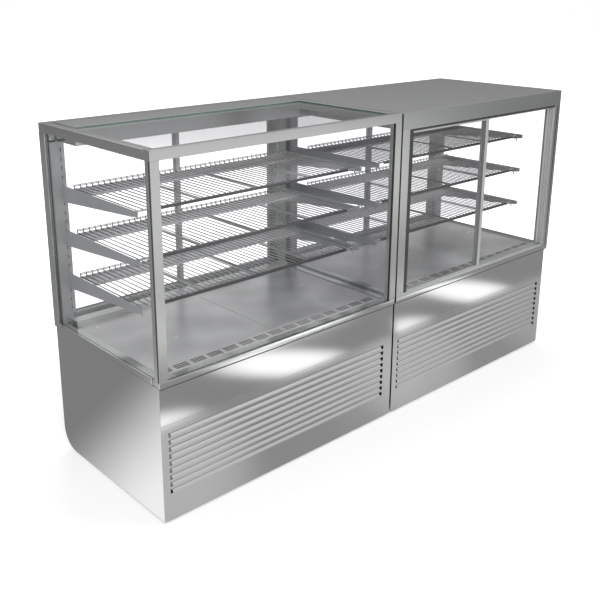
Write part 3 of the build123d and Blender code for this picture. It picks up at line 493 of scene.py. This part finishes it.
formedNodes = {
    "left_top_frame": {"finish": "stainlessRail", "slot": "stainless_frame", "edge": 0.0012},
    "right_top_frame": {"finish": "stainlessTop", "slot": "stainless_frame", "edge": 0.0010},
    "left_sill_frame": {"finish": "sillSteel", "slot": "stainless_frame", "edge": 0.0014},
    "right_sill_frame": {"finish": "sillSteel", "slot": "stainless_frame", "edge": 0.0014},
    "right_lid": {"finish": "stainlessTop", "slot": "stainless_top", "edge": 0.0005},
    "rear_headers": {"finish": "stainlessTop", "slot": "stainless_frame", "edge": 0.0008},
    "end_panels": {"finish": "stainlessPanel", "slot": "stainless_panel", "edge": 0.0008},
    "rear_panels": {"finish": "stainlessPanel", "slot": "stainless_panel", "edge": 0.0006},
    "front_bands": {"finish": "stainlessPanel", "slot": "stainless_polished", "edge": 0.0008},
    "deck_trays": {"finish": "stainlessDeck", "slot": "stainless_polished", "edge": 0.0006},
    "shelf_uprights": {"finish": "bracketSteel", "slot": "stainless_frame", "edge": 0.0004},
    "shelf_brackets": {"finish": "bracketSteel", "slot": "stainless_frame", "edge": 0.0006},
    "controllers": {"finish": "blackPlastic", "slot": "black_plastic", "edge": 0.0010},
    "switch_housings": {"finish": "blackPlastic", "slot": "black_plastic", "edge": 0.0006},
    "left_rocker_switch": {"finish": "blackPlastic", "slot": "black_plastic", "edge": 0.0006},
    "right_rocker_switch": {"finish": "blackPlastic", "slot": "black_plastic", "edge": 0.0006},
    "levelling_feet": {"finish": "footSteel", "slot": "foot_steel", "edge": 0.0006},
}
for side in ("left", "right"):
    for leafName in ("inner", "outer"):
        formedNodes[f"{side}_rear_door_{leafName}"] = {
            "finish": "doorAluminium", "slot": "door_aluminium", "edge": 0.0008}
for nodeName, look in formedNodes.items():
    formedNode(nodeName, look)
print("formed nodes:", len(formedNodes))

# parts inside and below keep their CAD mesh and only get a finish
keptNodes = {
    "base_pans": "galvanised", "base_posts": "galvanised", "cold_wells": "wellLiner",
    "cable_glands": "blackPlastic", "joining_bolts": "footSteel",
    "compressors": "compressorPaint", "condenser_coils": "coilFins",
    "evaporator_coils": "coilFins", "condenser_fan_mounts": "galvanised",
    "evaporator_fan_mounts": "galvanised", "left_condenser_fan_rotor": "fanPlastic",
    "right_condenser_fan_rotor": "fanPlastic", "left_evaporator_fan_rotor": "fanPlastic",
    "right_evaporator_fan_rotor": "fanPlastic",
}
for nodeName, finishName in keptNodes.items():
    data = nodes[nodeName].data
    data.materials.clear()
    data.materials.append(finishes[finishName])
print("kept nodes:", len(keptNodes))


# Corner posts: folded posts, with a dark joint behind the left ones' front faces that holds
# the front pane, and a dark groove down the far front one

post = {
    "edge": 0.0012, "edgeSteps": 3, "skin": 0.0026, "jointRear": 0.0115, "jointInset": 0.0008,
    "paneLap": 0.001, "grooveFrom": 0.020, "grooveWidth": 0.005, "grooveDepth": 0.0015,
}


def openJoint(bm, yFrom, yTo):
    # cuts each front post behind its front face and takes the slice out
    for cut in (yFrom, yTo):
        cutAlong(bm, (0, cut, 0), (0, 1, 0))
    slices = [f for f in bm.faces if yFrom < f.calc_center_median().y < yTo]
    bmesh.ops.delete(bm, geom=slices, context="FACES")
    bmesh.ops.holes_fill(bm, edges=[e for e in bm.edges if e.is_boundary], sides=0)
    bmesh.ops.recalc_face_normals(bm, faces=bm.faces)


def leftPosts(bm, low, high):
    yFrom, yTo = low.y + post["skin"], low.y + post["jointRear"]
    openJoint(bm, yFrom, yTo)
    soften(bm, post["edge"], post["edgeSteps"])
    inset, lap = post["jointInset"], post["paneLap"]
    paneLow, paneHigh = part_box("left_front_glass")
    for xFrom, xTo in ((low.x + inset, paneLow.x + lap), (paneHigh.x - lap, high.x - inset)):
        bar(bm, (xFrom, yFrom, low.z), (xTo, yTo, high.z), 1)


def rightPosts(bm, low, high):
    soften(bm, post["edge"], post["edgeSteps"])
    xTo = high.x - post["grooveFrom"]
    bar(bm, (xTo - post["grooveWidth"], low.y, low.z),
        (xTo, low.y + post["grooveDepth"], high.z), 1)


for nodeName, shapePosts in (("left_corner_posts", leftPosts), ("right_corner_posts", rightPosts)):
    low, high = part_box(nodeName)
    postsMesh = mergedCopy(nodeName)
    shapePosts(postsMesh, low, high)
    publish(nodeName + "_finished", postsMesh, ["stainlessFrame", "sealRubber"], "cabinet",
            [nodeName])
print("corner posts done")


# Louvre panels: each blade is cut along its top and ends and bent inwards from below

louvre = {
    "count": 9, "pitch": 0.0278, "firstTop": 0.3535, "height": 0.017, "depth": 0.010,
    "fromLeft": 0.030, "length": 1.116, "endNotch": 0.011, "sheet": 0.0015,
    "bendRadius": 0.0025, "bendSteps": 4, "bladeHeight": 0.0122, "edge": 0.0003,
    "edgeAngle": 40.0, "smoothAngle": 18.0,
}


def louvreBlade(bm, xFrom, xTo, yFront, zLow):
    # its cross section starts as one short edge, is spun round the bend and drawn out straight
    sheet, radius = louvre["sheet"], louvre["bendRadius"]
    lean = math.atan2(louvre["depth"], louvre["height"])
    earlier = set(bm.faces)
    first = [bm.verts.new((xFrom, y, zLow)) for y in (yFront, yFront + sheet)]
    edge = bm.edges.new(first)
    centre = (xFrom, yFront + sheet + radius, zLow)
    spun = bmesh.ops.spin(bm, geom=first + [edge], cent=centre, axis=(-1, 0, 0), angle=lean,
                          steps=louvre["bendSteps"], use_duplicate=False)["geom_last"]
    tips = vertsOf(bmesh.ops.extrude_edge_only(bm, edges=edgesOf(spun))["geom"])
    tipTop = zLow + louvre["bladeHeight"] - sheet * math.sin(lean)
    reach = (tipTop - max(v.co.z for v in tips)) / math.cos(lean)
    bmesh.ops.translate(bm, verts=tips, vec=(0, math.sin(lean) * reach, math.cos(lean) * reach))
    section = [f for f in bm.faces if f not in earlier]
    swept = bmesh.ops.extrude_face_region(bm, geom=section)["geom"]
    bmesh.ops.translate(bm, verts=vertsOf(swept), vec=(xTo - xFrom, 0, 0))


def louvrePanel(side):
    nodeName = f"{side}_louvre_panel"
    low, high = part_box(nodeName)
    xFrom = low.x + louvre["fromLeft"]
    xTo = xFrom + louvre["length"]
    bottoms = [louvre["firstTop"] - louvre["height"] - louvre["pitch"] * number
               for number in range(louvre["count"])]
    bm = bmesh.new()
    middle = Matrix.Translation(((low.x + high.x) / 2, low.y, (low.z + high.z) / 2))
    upright = Matrix.Rotation(math.radians(90), 4, "X")
    shape = Matrix.Diagonal((high.x - low.x, high.z - low.z, 1.0, 1.0))
    bmesh.ops.create_grid(bm, x_segments=1, y_segments=1, size=0.5, matrix=middle @ upright @ shape)
    for x in (xFrom, xTo):
        cutAlong(bm, (x, 0, 0), (1, 0, 0))
    for bottom in bottoms:
        for z in (bottom, bottom + louvre["height"]):
            cutAlong(bm, (0, 0, z), (0, 0, 1))
    windows = []
    for face in bm.faces:
        centre = face.calc_center_median()
        within = any(bottom < centre.z < bottom + louvre["height"] for bottom in bottoms)
        if xFrom < centre.x < xTo and within:
            windows.append(face)
    bmesh.ops.delete(bm, geom=windows, context="FACES")
    sheetBack = bmesh.ops.extrude_face_region(bm, geom=bm.faces[:])["geom"]
    bmesh.ops.translate(bm, verts=vertsOf(sheetBack), vec=(0, louvre["sheet"], 0))
    for bottom in bottoms:
        louvreBlade(bm, xFrom + louvre["endNotch"], xTo - louvre["endNotch"], low.y, bottom)
    bmesh.ops.recalc_face_normals(bm, faces=bm.faces)
    soften(bm, louvre["edge"], segments=1, angle=louvre["edgeAngle"])
    publish(nodeName + "_finished", bm, ["stainlessPanel"], "cabinet",
            [nodeName], louvre["smoothAngle"])


for side in ("left", "right"):
    louvrePanel(side)
print("louvre panels done")


# Return grilles: rows of short slots in groups of four

grille = {
    "front": 0.0455, "rear": 0.1385, "endGap": 0.0425, "groups": 15, "columns": 4, "rows": 3,
    "rowPitch": 0.0118, "rowCentre": 0.082, "rim": 0.0037, "lengthen": 1.45, "slotDepth": 0.0022,
    "skirt": 0.010, "edge": 0.0006,
}


def returnGrille(bm, xFrom, xTo, yBase, top):
    # a grid of cells, with one plain column after each group's slots
    repeat = grille["columns"] + 1
    bands = grille["groups"] * repeat
    step = (xTo - xFrom) / bands
    deep = grille["rows"] * grille["rowPitch"]
    yMiddle = yBase + grille["rowCentre"]
    shape = Matrix.Translation(((xFrom + xTo) / 2, yMiddle, top))
    shape = shape @ Matrix.Diagonal((xTo - xFrom, deep, 1.0, 1.0))
    made = bmesh.ops.create_grid(bm, x_segments=bands, y_segments=grille["rows"], size=0.5,
                                 matrix=shape)["verts"]
    slots = [f for f in facesAt(made)
             if int((f.calc_center_median().x - xFrom) / step) % repeat != grille["columns"]]
    # plain strips in front of the rows and behind them, then a skirt all round
    edges = {e for v in made for e in v.link_edges if e.is_boundary}
    for limit, toward in ((yBase + grille["front"], -1), (yBase + grille["rear"], 1)):
        border = [e for e in edges
                  if all((v.co.y - yMiddle) * toward > deep / 2 - near for v in e.verts)]
        grown = vertsOf(bmesh.ops.extrude_edge_only(bm, edges=border)["geom"])
        for vert in grown:
            vert.co.y = limit
        made += grown
    rim = list({e for v in made for e in v.link_edges if e.is_boundary})
    skirt = vertsOf(bmesh.ops.extrude_edge_only(bm, edges=rim)["geom"])
    bmesh.ops.translate(bm, verts=skirt, vec=(0, 0, -grille["skirt"]))
    # each slot is set in from its cell, made longer and sunk, and its walls and floor are painted
    # black: painted shade for the dark inside of an open slot
    bmesh.ops.inset_individual(bm, faces=slots, thickness=grille["rim"], depth=0.0)
    for face in slots:
        centre = face.calc_center_median()
        for vert in face.verts:
            vert.co.x = centre.x + (vert.co.x - centre.x) * grille["lengthen"]
    for pit in bmesh.ops.extrude_discrete_faces(bm, faces=slots)["faces"]:
        for vert in pit.verts:
            vert.co.z = top - grille["slotDepth"]
        for face in {f for e in pit.edges for f in e.link_faces}:
            face.material_index = 1


def airGrilles():
    # the duct covers at the rear keep their CAD shape, the grilles in front are made anew
    bm = mergedCopy("air_grilles")
    bmesh.ops.delete(bm, geom=[v for v in bm.verts if v.co.y < 0], context="VERTS")
    soften(bm, grille["edge"])
    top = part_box("deck_trays")[1].z
    for side in ("left", "right"):
        start = bayStart(side)
        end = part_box(f"{side}_sill_frame")[1].x
        returnGrille(bm, start + grille["endGap"], end - grille["endGap"], cadLow.y, top)
    bmesh.ops.recalc_face_normals(bm, faces=bm.faces)
    # the second finish is the black of the painted shade in the slots
    publish("air_grilles_finished", bm, ["stainlessDeck", "stripHousing"], "cabinet",
            ["air_grilles"])


airGrilles()
print("grilles done")


# Glass

pane = {"edge": 0.0006, "squareOn": 0.9}


def glassPiece(nodeName):
    # a pane is one clear face, so light crosses it once, framed by its ground green edges
    bm = mergedCopy(nodeName)
    soften(bm, pane["edge"], segments=1)
    low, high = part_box(nodeName)
    size = high - low
    thin = 0 if nodeName == "side_glass_panes" else min(range(3), key=lambda axis: size[axis])
    bm.normal_update()
    for face in bm.faces:
        face.material_index = 0 if abs(face.normal[thin]) > pane["squareOn"] else 1
    farFaces = [f for f in bm.faces if f.normal[thin] > pane["squareOn"]]
    bmesh.ops.delete(bm, geom=farFaces, context="FACES_ONLY")
    publish(nodeName + "_finished", bm, ["paneGlass", "paneEdge"], nodes[nodeName]["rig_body"],
            [nodeName])


glassNodes = ["left_top_glass", "left_front_glass", "side_glass_panes"]
glassNodes += [n for n in nodes if n.endswith("_glass") and "_door_" in n]
for nodeName in glassNodes:
    glassPiece(nodeName)
print("glass pieces:", len(glassNodes))


# Front sliding doors, the door tracks and the seals round the openings, and painted shade on the
# track over the front doors and under each sill

frontDoor = {
    "edge": 0.0008, "jambStile": 0.020, "jambLip": 0.0025, "nearPost": 0.1, "farDark": 0.004,
}


def frontLeaf(leafName):
    # the stile beside the near post is a dark brush carrier with a bright inner lip, and the
    # far leaf has a dark edge
    nodeName = f"right_front_door_{leafName}"
    bm = mergedCopy(nodeName)
    soften(bm, frontDoor["edge"])
    low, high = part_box(nodeName)
    if low.x - bayStart("right") < frontDoor["nearPost"]:
        limit = low.x + frontDoor["jambStile"] - frontDoor["jambLip"]
        paintFaces(bm, 1, lambda centre: centre.x < limit)
    else:
        limit = high.x - frontDoor["farDark"]
        paintFaces(bm, 1, lambda centre: centre.x > limit)
    publish(nodeName + "_finished", bm, ["doorAluminium", "stripHousing"],
            nodes[nodeName]["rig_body"], [nodeName])


track = {"edge": 0.0005, "paintedShadeAbove": 0.9}


def doorTracks():
    # the track over the front doors is painted dark as shade for the gap under the fascia, the
    # others are plain
    bm = mergedCopy("door_tracks")
    soften(bm, track["edge"])
    paintFaces(bm, 1, lambda centre: centre.y < 0 and centre.z > track["paintedShadeAbove"])
    publish("door_tracks_finished", bm, ["doorAluminium", "stripHousing"], "cabinet",
            ["door_tracks"])


seal = {"edge": 0.0008, "channelFrom": 0.105, "channelTo": 0.037, "belowTop": 0.10}


def glassSeals():
    # rubber everywhere but at the far jamb of the front doors, which has a metal channel
    bm = mergedCopy("glass_seals")
    soften(bm, seal["edge"])
    xFrom, xTo = cadHigh.x - seal["channelFrom"], cadHigh.x - seal["channelTo"]
    zTo = cadHigh.z - seal["belowTop"]
    paintFaces(bm, 1, lambda centre: centre.y < 0 and xFrom < centre.x < xTo and centre.z < zTo)
    publish("glass_seals_finished", bm, ["sealRubber", "doorAluminium"], "cabinet",
            ["glass_seals"])


# the painted shadow strip under each sill: its size and where it sits under the sill
sillShadowStrip = {
    "height": 0.0042, "endInset": 0.001, "frontInset": 0.0008, "rearReach": 0.0064,
    "edge": 0.0006,
}


def sillShadowStrips():
    # a strip in the dark seal finish between each sill and the base below it: painted shade that
    # stands in for the shadow gap there
    bm = bmesh.new()
    for side in ("left", "right"):
        low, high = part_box(f"{side}_sill_frame")
        inset = sillShadowStrip["endInset"]
        bar(bm, (low.x + inset, low.y + sillShadowStrip["frontInset"], low.z - sillShadowStrip["height"]),
            (high.x - inset, low.y + sillShadowStrip["rearReach"], low.z))
    soften(bm, sillShadowStrip["edge"])
    publish("sill_shadow_strips", bm, ["sealRubber"], "cabinet")


for leafName in ("inner", "outer"):
    frontLeaf(leafName)
doorTracks()
glassSeals()
sillShadowStrips()
print("doors and seals done")


# Wire racks: welded wires on a folded carrier, with a guard at the rear

rack = {
    "wires": 43, "wireRadius": 0.0023, "wireSides": 6, "wireSetback": 0.0005, "tipGap": 0.0006,
    "bend": 0.004, "frontRadius": 0.0030, "frontSides": 12, "frontWeld": 0.8,
    "guardRise": 0.012, "guardRadius": 0.0017, "guardSides": 8, "guardWeld": 0.7,
    "guardHeights": (0.0052, 0.0101), "beamWidth": 0.105, "sheet": 0.0015, "straps": 3,
    "strapWidth": 0.020, "strapSheet": 0.003, "strapSetback": 0.003, "strapLap": 0.001,
    "strapDrop": 0.0002, "edge": 0.0005, "smoothAngle": 50.0,
}


def rackCarrier(bm, low, high, seat):
    # a beam folded down at front and rear, and straps that reach forwards from it
    sheet = rack["sheet"]
    yBeam = high.y - rack["beamWidth"]
    bar(bm, (low.x, yBeam, seat - sheet), (high.x, high.y, seat), 1)
    for y in (yBeam, high.y - sheet):
        bar(bm, (low.x, y, low.z), (high.x, y + sheet, seat - sheet), 1)
    half = rack["strapWidth"] / 2
    for number in range(1, rack["straps"] + 1):
        x = low.x + (high.x - low.x) * number / (rack["straps"] + 1)
        bar(bm, (x - half, low.y + rack["strapSetback"], seat - rack["strapSheet"]),
            (x + half, yBeam + rack["strapLap"], seat - rack["strapDrop"]), 1)
    soften(bm, rack["edge"])


def wireRack(nodeName):
    low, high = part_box(nodeName)
    top = high.z - rack["guardRise"]
    radius = rack["wireRadius"]
    seat = top - 2 * radius
    bm = bmesh.new()
    rackCarrier(bm, low, high, seat)
    # the wires run back over the beam and turn up into the guard
    wireZ = top - radius
    rearY = high.y - radius
    bend = rack["bend"]
    middle = bend * bendMiddle
    profile = [(low.y + rack["wireSetback"], wireZ), (rearY - bend, wireZ),
               (rearY - middle, wireZ + middle), (rearY, wireZ + bend),
               (rearY, high.z - rack["tipGap"])]
    step = (high.x - low.x - 2 * radius) / (rack["wires"] - 1)
    for number in range(rack["wires"]):
        x = low.x + radius + step * number
        sweptRod(bm, [(x, y, z) for y, z in profile], radius, rack["wireSides"])
    # the front rod lies under the wires, the guard's rods in front of their tips
    y, z = low.y + rack["frontRadius"], seat - rack["frontRadius"] * rack["frontWeld"]
    rod(bm, (low.x, y, z), (high.x, y, z), rack["frontRadius"], rack["frontSides"])
    y = rearY - radius - rack["guardRadius"] * rack["guardWeld"]
    for height in rack["guardHeights"]:
        z = top + height
        rod(bm, (low.x, y, z), (high.x, y, z), rack["guardRadius"], rack["guardSides"])
    publish(nodeName + "_finished", bm, ["chromedWire", "rackSteel"], "cabinet",
            [nodeName], rack["smoothAngle"])


rackNodes = [f"{side}_wire_shelf_{level}" for side in ("left", "right")
             for level in ("top", "middle", "bottom")]
for nodeName in rackNodes:
    wireRack(nodeName)
print("wire racks done:", len(rackNodes))


# Light strips under the racks' front edges, and the bent rod at each end of a rack

strip = {
    "belowTop": 0.004, "height": 0.009, "endGap": 0.047, "rounding": 0.003, "roundingSteps": 3,
    "lensWidth": 0.005, "lensInset": 0.004, "lensSink": 0.0004, "lensInside": 0.001,
    "rodRadius": 0.0026, "rodSides": 8, "overhang": 0.001, "tipDrop": 0.030, "tipBend": 0.007,
    "tipHook": 0.003, "smoothAngle": 45.0,
}


def stripBody(bm, xFrom, xTo, yFrom, yTo, top):
    # a dark housing with a rounded front edge, and a pale lens along its underside
    bottom = top - strip["height"]
    verts = bar(bm, (xFrom, yFrom, bottom), (xTo, yTo, top))
    upper = {e for v in verts for e in v.link_edges
             if all(w.co.z > top - near and w.co.y < yFrom + near for w in e.verts)}
    bmesh.ops.bevel(bm, geom=list(upper), offset=strip["rounding"], offset_type="OFFSET",
                    segments=strip["roundingSteps"], profile=0.5, affect="EDGES", material=-1)
    inset = strip["lensInset"]
    lensY = (yFrom + yTo - strip["lensWidth"]) / 2
    bar(bm, (xFrom + inset, lensY, bottom - strip["lensSink"]),
        (xTo - inset, lensY + strip["lensWidth"], bottom + strip["lensInside"]), 1)


def endRod(bm, xEnd, inward, rodY, top):
    # runs from the housing to the rack's end, bends down there and has a small hook at its tip
    radius, bend, hook = strip["rodRadius"], strip["tipBend"], strip["tipHook"]
    middle = bend * bendMiddle
    rodZ = top - radius
    tip = top - strip["tipDrop"]
    outer = xEnd + inward * (radius - strip["overhang"])
    sweptRod(bm, [(xEnd + inward * strip["endGap"], rodY, rodZ),
                  (outer + inward * bend, rodY, rodZ),
                  (outer + inward * middle, rodY, rodZ - middle),
                  (outer, rodY, rodZ - bend),
                  (outer, rodY, tip + hook),
                  (outer, rodY - hook, tip + hook / 2)],
             radius, strip["rodSides"], 2)


def lightStrips():
    bm = bmesh.new()
    low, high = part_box("shelf_light_strips")
    for side in ("left", "right"):
        for level in ("top", "middle", "bottom"):
            rackLow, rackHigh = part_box(f"{side}_wire_shelf_{level}")
            top = rackHigh.z - rack["guardRise"] - strip["belowTop"]
            stripBody(bm, rackLow.x + strip["endGap"], rackHigh.x - strip["endGap"], low.y,
                      high.y, top)
            for xEnd, inward in ((rackLow.x, 1), (rackHigh.x, -1)):
                endRod(bm, xEnd, inward, high.y - strip["rodRadius"], top)
    publish("shelf_light_strips_finished", bm,
            ["stripHousing", "stripDiffuser", "bracketSteel"], "cabinet",
            ["shelf_light_strips"], strip["smoothAngle"])


lightStrips()
print("light strips done")


# Floor, light and camera

studio = {
    "floorSize": 60.0, "floorColour": (0.80, 0.80, 0.80), "floorGlow": (0.30, 1.0),
    "shadowReach": (0.15, 1.6), "cabinetsHalf": (1.2, 0.37), "skyForLight": 0.62,
}


def stageObject(name, bm, material):
    mesh = bpy.data.meshes.new(name)
    bm.to_mesh(mesh)
    bm.free()
    made = bpy.data.objects.new(name, mesh)
    scene.collection.objects.link(made)
    mesh.materials.append(material)
    return made


def onlyInReflections(made):
    made.visible_camera = False
    made.visible_diffuse = False
    made.visible_transmission = False
    made.visible_shadow = False
    made.visible_volume_scatter = False


def awayFromCabinets(x, y):
    # how far a point of the floor is from the cabinets' plan, in metres
    halfX, halfY = studio["cabinetsHalf"]
    outX = (x.size() - halfX).most(0.0)
    outY = (y.size() - halfY).most(0.0)
    return (outX * outX + outY * outY) ** 0.5


def makeFloor():
    # matt and pale, with a glow for the camera alone that leaves the shadow round the cabinets
    material = bpy.data.materials.new("paleFloor")
    g = openGraph(material)
    x, y = g.axes()[:2]
    level = g.spread(awayFromCabinets(x, y), *studio["shadowReach"], *studio["floorGlow"])
    seen = g.node("ShaderNodeLightPath", out="Is Camera Ray")
    matt = g.node("ShaderNodeBsdfDiffuse", None, {"Color": solid(*studio["floorColour"])})
    glow = g.node("ShaderNodeEmission", None, {"Color": level, "Strength": seen})
    g.finish(g.node("ShaderNodeAddShader", None, {0: matt, 1: glow}))
    bm = bmesh.new()
    bmesh.ops.create_grid(bm, x_segments=4, y_segments=4, size=studio["floorSize"] / 2)
    floor = stageObject("floor", bm, material)
    floor.visible_glossy = False


# soft cards on the floor in front of the cabinets, seen only as reflections in the metal:
# where each lies, its half sizes, how far it is turned and how much lighter it is
floorCards = [
    {"place": (0.02, -1.06), "half": (0.41, 0.16), "turn": 40, "level": 1.50},
    {"place": (1.575, -1.065), "half": (0.36, 0.20), "turn": 61, "level": 1.45},
    {"place": (-0.90, -0.91), "half": (0.28, 0.16), "turn": 0, "level": 1.50},
    {"place": (0.76, -0.90), "half": (0.28, 0.19), "turn": 0, "level": 1.40, "startsAt": -0.375},
    {"place": (0.36, -1.372), "half": (0.44, 0.08), "turn": 0, "level": 2.20},
    {"place": (1.34, -1.365), "half": (0.30, 0.09), "turn": 0, "level": 0.90},
    {"place": (-0.28, -1.85), "half": (0.35, 0.40), "turn": 0, "level": 0.60},
]
louvreCards = [
    {"place": (-1.03, -0.65), "half": (0.55, 0.34), "turn": -57, "level": 0.31},
    {"place": (0.20, -0.65), "half": (0.50, 0.22), "turn": -40, "level": 0.08},
    {"place": (0.48, -0.65), "half": (0.55, 0.27), "turn": -39, "level": 0.25},
    {"place": (1.68, -0.65), "half": (0.65, 0.24), "turn": -30, "level": 0.14},
]

# a card is lightest in its middle and gone at this reach from it, and one with startsAt
# begins at a line that slopes across the floor
cardFade = {"reach": 1.8, "slope": 1.13, "width": 0.03}


def cardLevel(g, x, y, cards):
    # the light that a set of soft cards adds at a point of the floor
    total = 0.0
    for card in cards:
        turn = math.radians(card["turn"])
        fromX, fromY = x - card["place"][0], y - card["place"][1]
        along = (fromX * math.cos(turn) + fromY * math.sin(turn)) / card["half"][0]
        across = (fromY * math.cos(turn) - fromX * math.sin(turn)) / card["half"][1]
        soft = g.spread(along * along + across * across, cardFade["reach"], 0.0) * card["level"]
        if "startsAt" in card:
            start = card["startsAt"]
            soft = soft * g.spread(x + y * cardFade["slope"], start, start + cardFade["width"])
        total = total + soft
    return total


def fade(first, second, share):
    # from the first level to the second as the share goes from 0 to 1
    return first * (1 - share) + second * share


# the rest of the floor that the metal sees: how light each part is, and between which places
# one part fades into the next
reflected = {
    "front": 0.37, "frontEdge": (-0.30, -0.37),
    "nearLouvres": 0.42, "louvresEdge": (-0.956, -0.940),
    "farFront": (0.22, 0.90), "farRatio": (1.34, 1.08), "farFade": (-1.6, -3.2), "ratioFrom": 0.3,
    "left": (0.32, 1.40), "leftFade": (0.46, -0.28), "leftCorner": -1.25, "leftSlope": 0.63,
    "leftEdge": (-1.20, -1.22), "leftStart": (-0.45, -0.36),
    "rear": (0.60, 0.40), "rearFade": (0.4, 3.0), "below": 0.001,
}


def makeReflectedFloor():
    # what the metal sees of the floor round the cabinets
    material = bpy.data.materials.new("reflectedFloor")
    g = openGraph(material)
    x, y = g.axes()[:2]
    # in front: the cards, with a quieter strip close to the louvres
    front = fade(reflected["front"] + cardLevel(g, x, y, floorCards),
                 reflected["nearLouvres"] + cardLevel(g, x, y, louvreCards),
                 g.spread(y, *reflected["louvresEdge"]))
    # further out: light ahead of the cabinets' left, grey towards the right
    start = reflected["ratioFrom"]
    ratio = x / (start - y).most(start)
    farFront = g.spread(ratio, *reflected["farRatio"], *reflected["farFront"])
    front = front + (farFront - reflected["front"]) * g.spread(y, *reflected["farFade"])
    # left of the cabinets: light towards the customer, grey towards the rear
    slant = y + (x - reflected["leftCorner"]) * reflected["leftSlope"]
    left = g.spread(slant, *reflected["leftFade"], *reflected["left"])
    isLeft = g.spread(x, *reflected["leftEdge"]) * g.spread(y, *reflected["leftStart"])
    rear = g.spread(y, *reflected["rearFade"], *reflected["rear"])
    level = fade(fade(rear, front, g.spread(y, *reflected["frontEdge"])), left, isLeft)
    g.finish(g.node("ShaderNodeEmission", None, {"Color": level}))
    bm = bmesh.new()
    bmesh.ops.create_grid(bm, x_segments=4, y_segments=4, size=studio["floorSize"] / 2,
                          matrix=Matrix.Translation((0, 0, -reflected["below"])))
    onlyInReflections(stageObject("reflectedFloor", bm, material))


# the wall that the metal sees: its greys are pairs of a share of its height and a level
wall = {
    "radius": 9.0, "height": 5.5, "segments": 64,
    "rear": [(0.0, 0.20), (0.55, 0.17), (0.68, 0.65), (1.0, 0.95)],
    "ahead": [(0.0, 0.62), (0.4, 0.70), (0.75, 0.92), (1.0, 1.05)],
    "slope": 0.35, "aheadFade": (1.0, -3.0),
    "dimmed": 0.45, "dimmedX": (5.8, 7.0), "dimmedZ": (2.5, 0.5),
}


def makeReflectedWall():
    # a soft wall round the studio that only the metal sees: lighter in front than at the rear
    material = bpy.data.materials.new("reflectedWall")
    g = openGraph(material)
    x, y, z = g.axes()
    rear, ahead = [
        g.node("ShaderNodeValToRGB", {"stops": [(place, (grey,) * 3) for place, grey in wall[key]]},
               {0: z / wall["height"]})
        for key in ("rear", "ahead")]
    shade = g.blend(g.spread(y + x * wall["slope"], *wall["aheadFade"]), rear, ahead)
    lowRight = g.spread(x, *wall["dimmedX"]) * g.spread(z, *wall["dimmedZ"])
    shade = g.blend(lowRight * wall["dimmed"], shade, solid(0, 0, 0))
    g.finish(g.node("ShaderNodeEmission", None, {"Color": shade}))
    bm = bmesh.new()
    bmesh.ops.create_cone(bm, cap_ends=False, segments=wall["segments"], radius1=wall["radius"],
                          radius2=wall["radius"], depth=wall["height"],
                          matrix=Matrix.Translation((0, 0, wall["height"] / 2)))
    onlyInReflections(stageObject("reflectedWall", bm, material))


def makeWorld():
    # white where the camera, the metal and the glass see it, and softer as a light
    world = bpy.data.worlds.new("studioWorld")
    scene.world = world
    g = openGraph(world)
    camera, glossy, through = [g.node("ShaderNodeLightPath", out=f"Is {ray} Ray")
                               for ray in ("Camera", "Glossy", "Transmission")]
    shown = camera.most(glossy).most(through)
    sky = g.node("ShaderNodeBackground", None,
                 {"Color": solid(1, 1, 1), "Strength": fade(studio["skyForLight"], 1, shown)})
    g.finish(sky, "ShaderNodeOutputWorld")


lamps = {
    "keyLamp": {"place": (-3.4, -3.6, 4.6), "aim": (-0.2, 0, 0.6), "size": 2.6, "watts": 150},
    "fillLamp": {"place": (3.6, -4.2, 3.6), "aim": (0.3, 0, 0.6), "size": 3.2, "watts": 90},
    "rearLamp": {"place": (1.8, 4.2, 4.6), "aim": (0, 0, 0.7), "size": 3.0, "watts": 90},
}


def makeLamps():
    for name, lamp in lamps.items():
        light = bpy.data.lights.new(name, "AREA")
        light.size = lamp["size"]
        light.energy = lamp["watts"]
        holder = bpy.data.objects.new(name, light)
        scene.collection.objects.link(holder)
        holder.location = lamp["place"]
        holder.visible_glossy = False
        aim = Vector(lamp["aim"]) - Vector(lamp["place"])
        holder.rotation_euler = aim.to_track_quat("-Z", "Y").to_euler()


# solved from the cabinets' corners: the turn is in degrees about x, y and z, and the focal
# length and the centre are in the units of a picture 600 across
lens = {
    "place": (-2.5958, -2.5484, 1.8399), "turn": (73.3442, -0.1948, -42.2683),
    "focal": 833.802, "centre": (289.600, 235.544), "picture": 600.0, "sensor": 36.0,
    "clip": (0.05, 100.0),
}


def makeCamera():
    data = bpy.data.cameras.new("mainCamera")
    camera = bpy.data.objects.new("mainCamera", data)
    scene.collection.objects.link(camera)
    camera.location = lens["place"]
    camera.rotation_euler = [math.radians(angle) for angle in lens["turn"]]
    data.sensor_width = lens["sensor"]
    data.lens = lens["sensor"] * lens["focal"] / lens["picture"]
    data.shift_x = 0.5 - lens["centre"][0] / lens["picture"]
    data.shift_y = lens["centre"][1] / lens["picture"] - 0.5
    data.clip_start, data.clip_end = lens["clip"]
    scene.camera = camera


makeFloor()
makeReflectedFloor()
makeReflectedWall()
makeWorld()
makeLamps()
makeCamera()
scene.view_settings.view_transform = "Standard"
print("stage, lamps and camera ready")

bpy.context.view_layer.update()
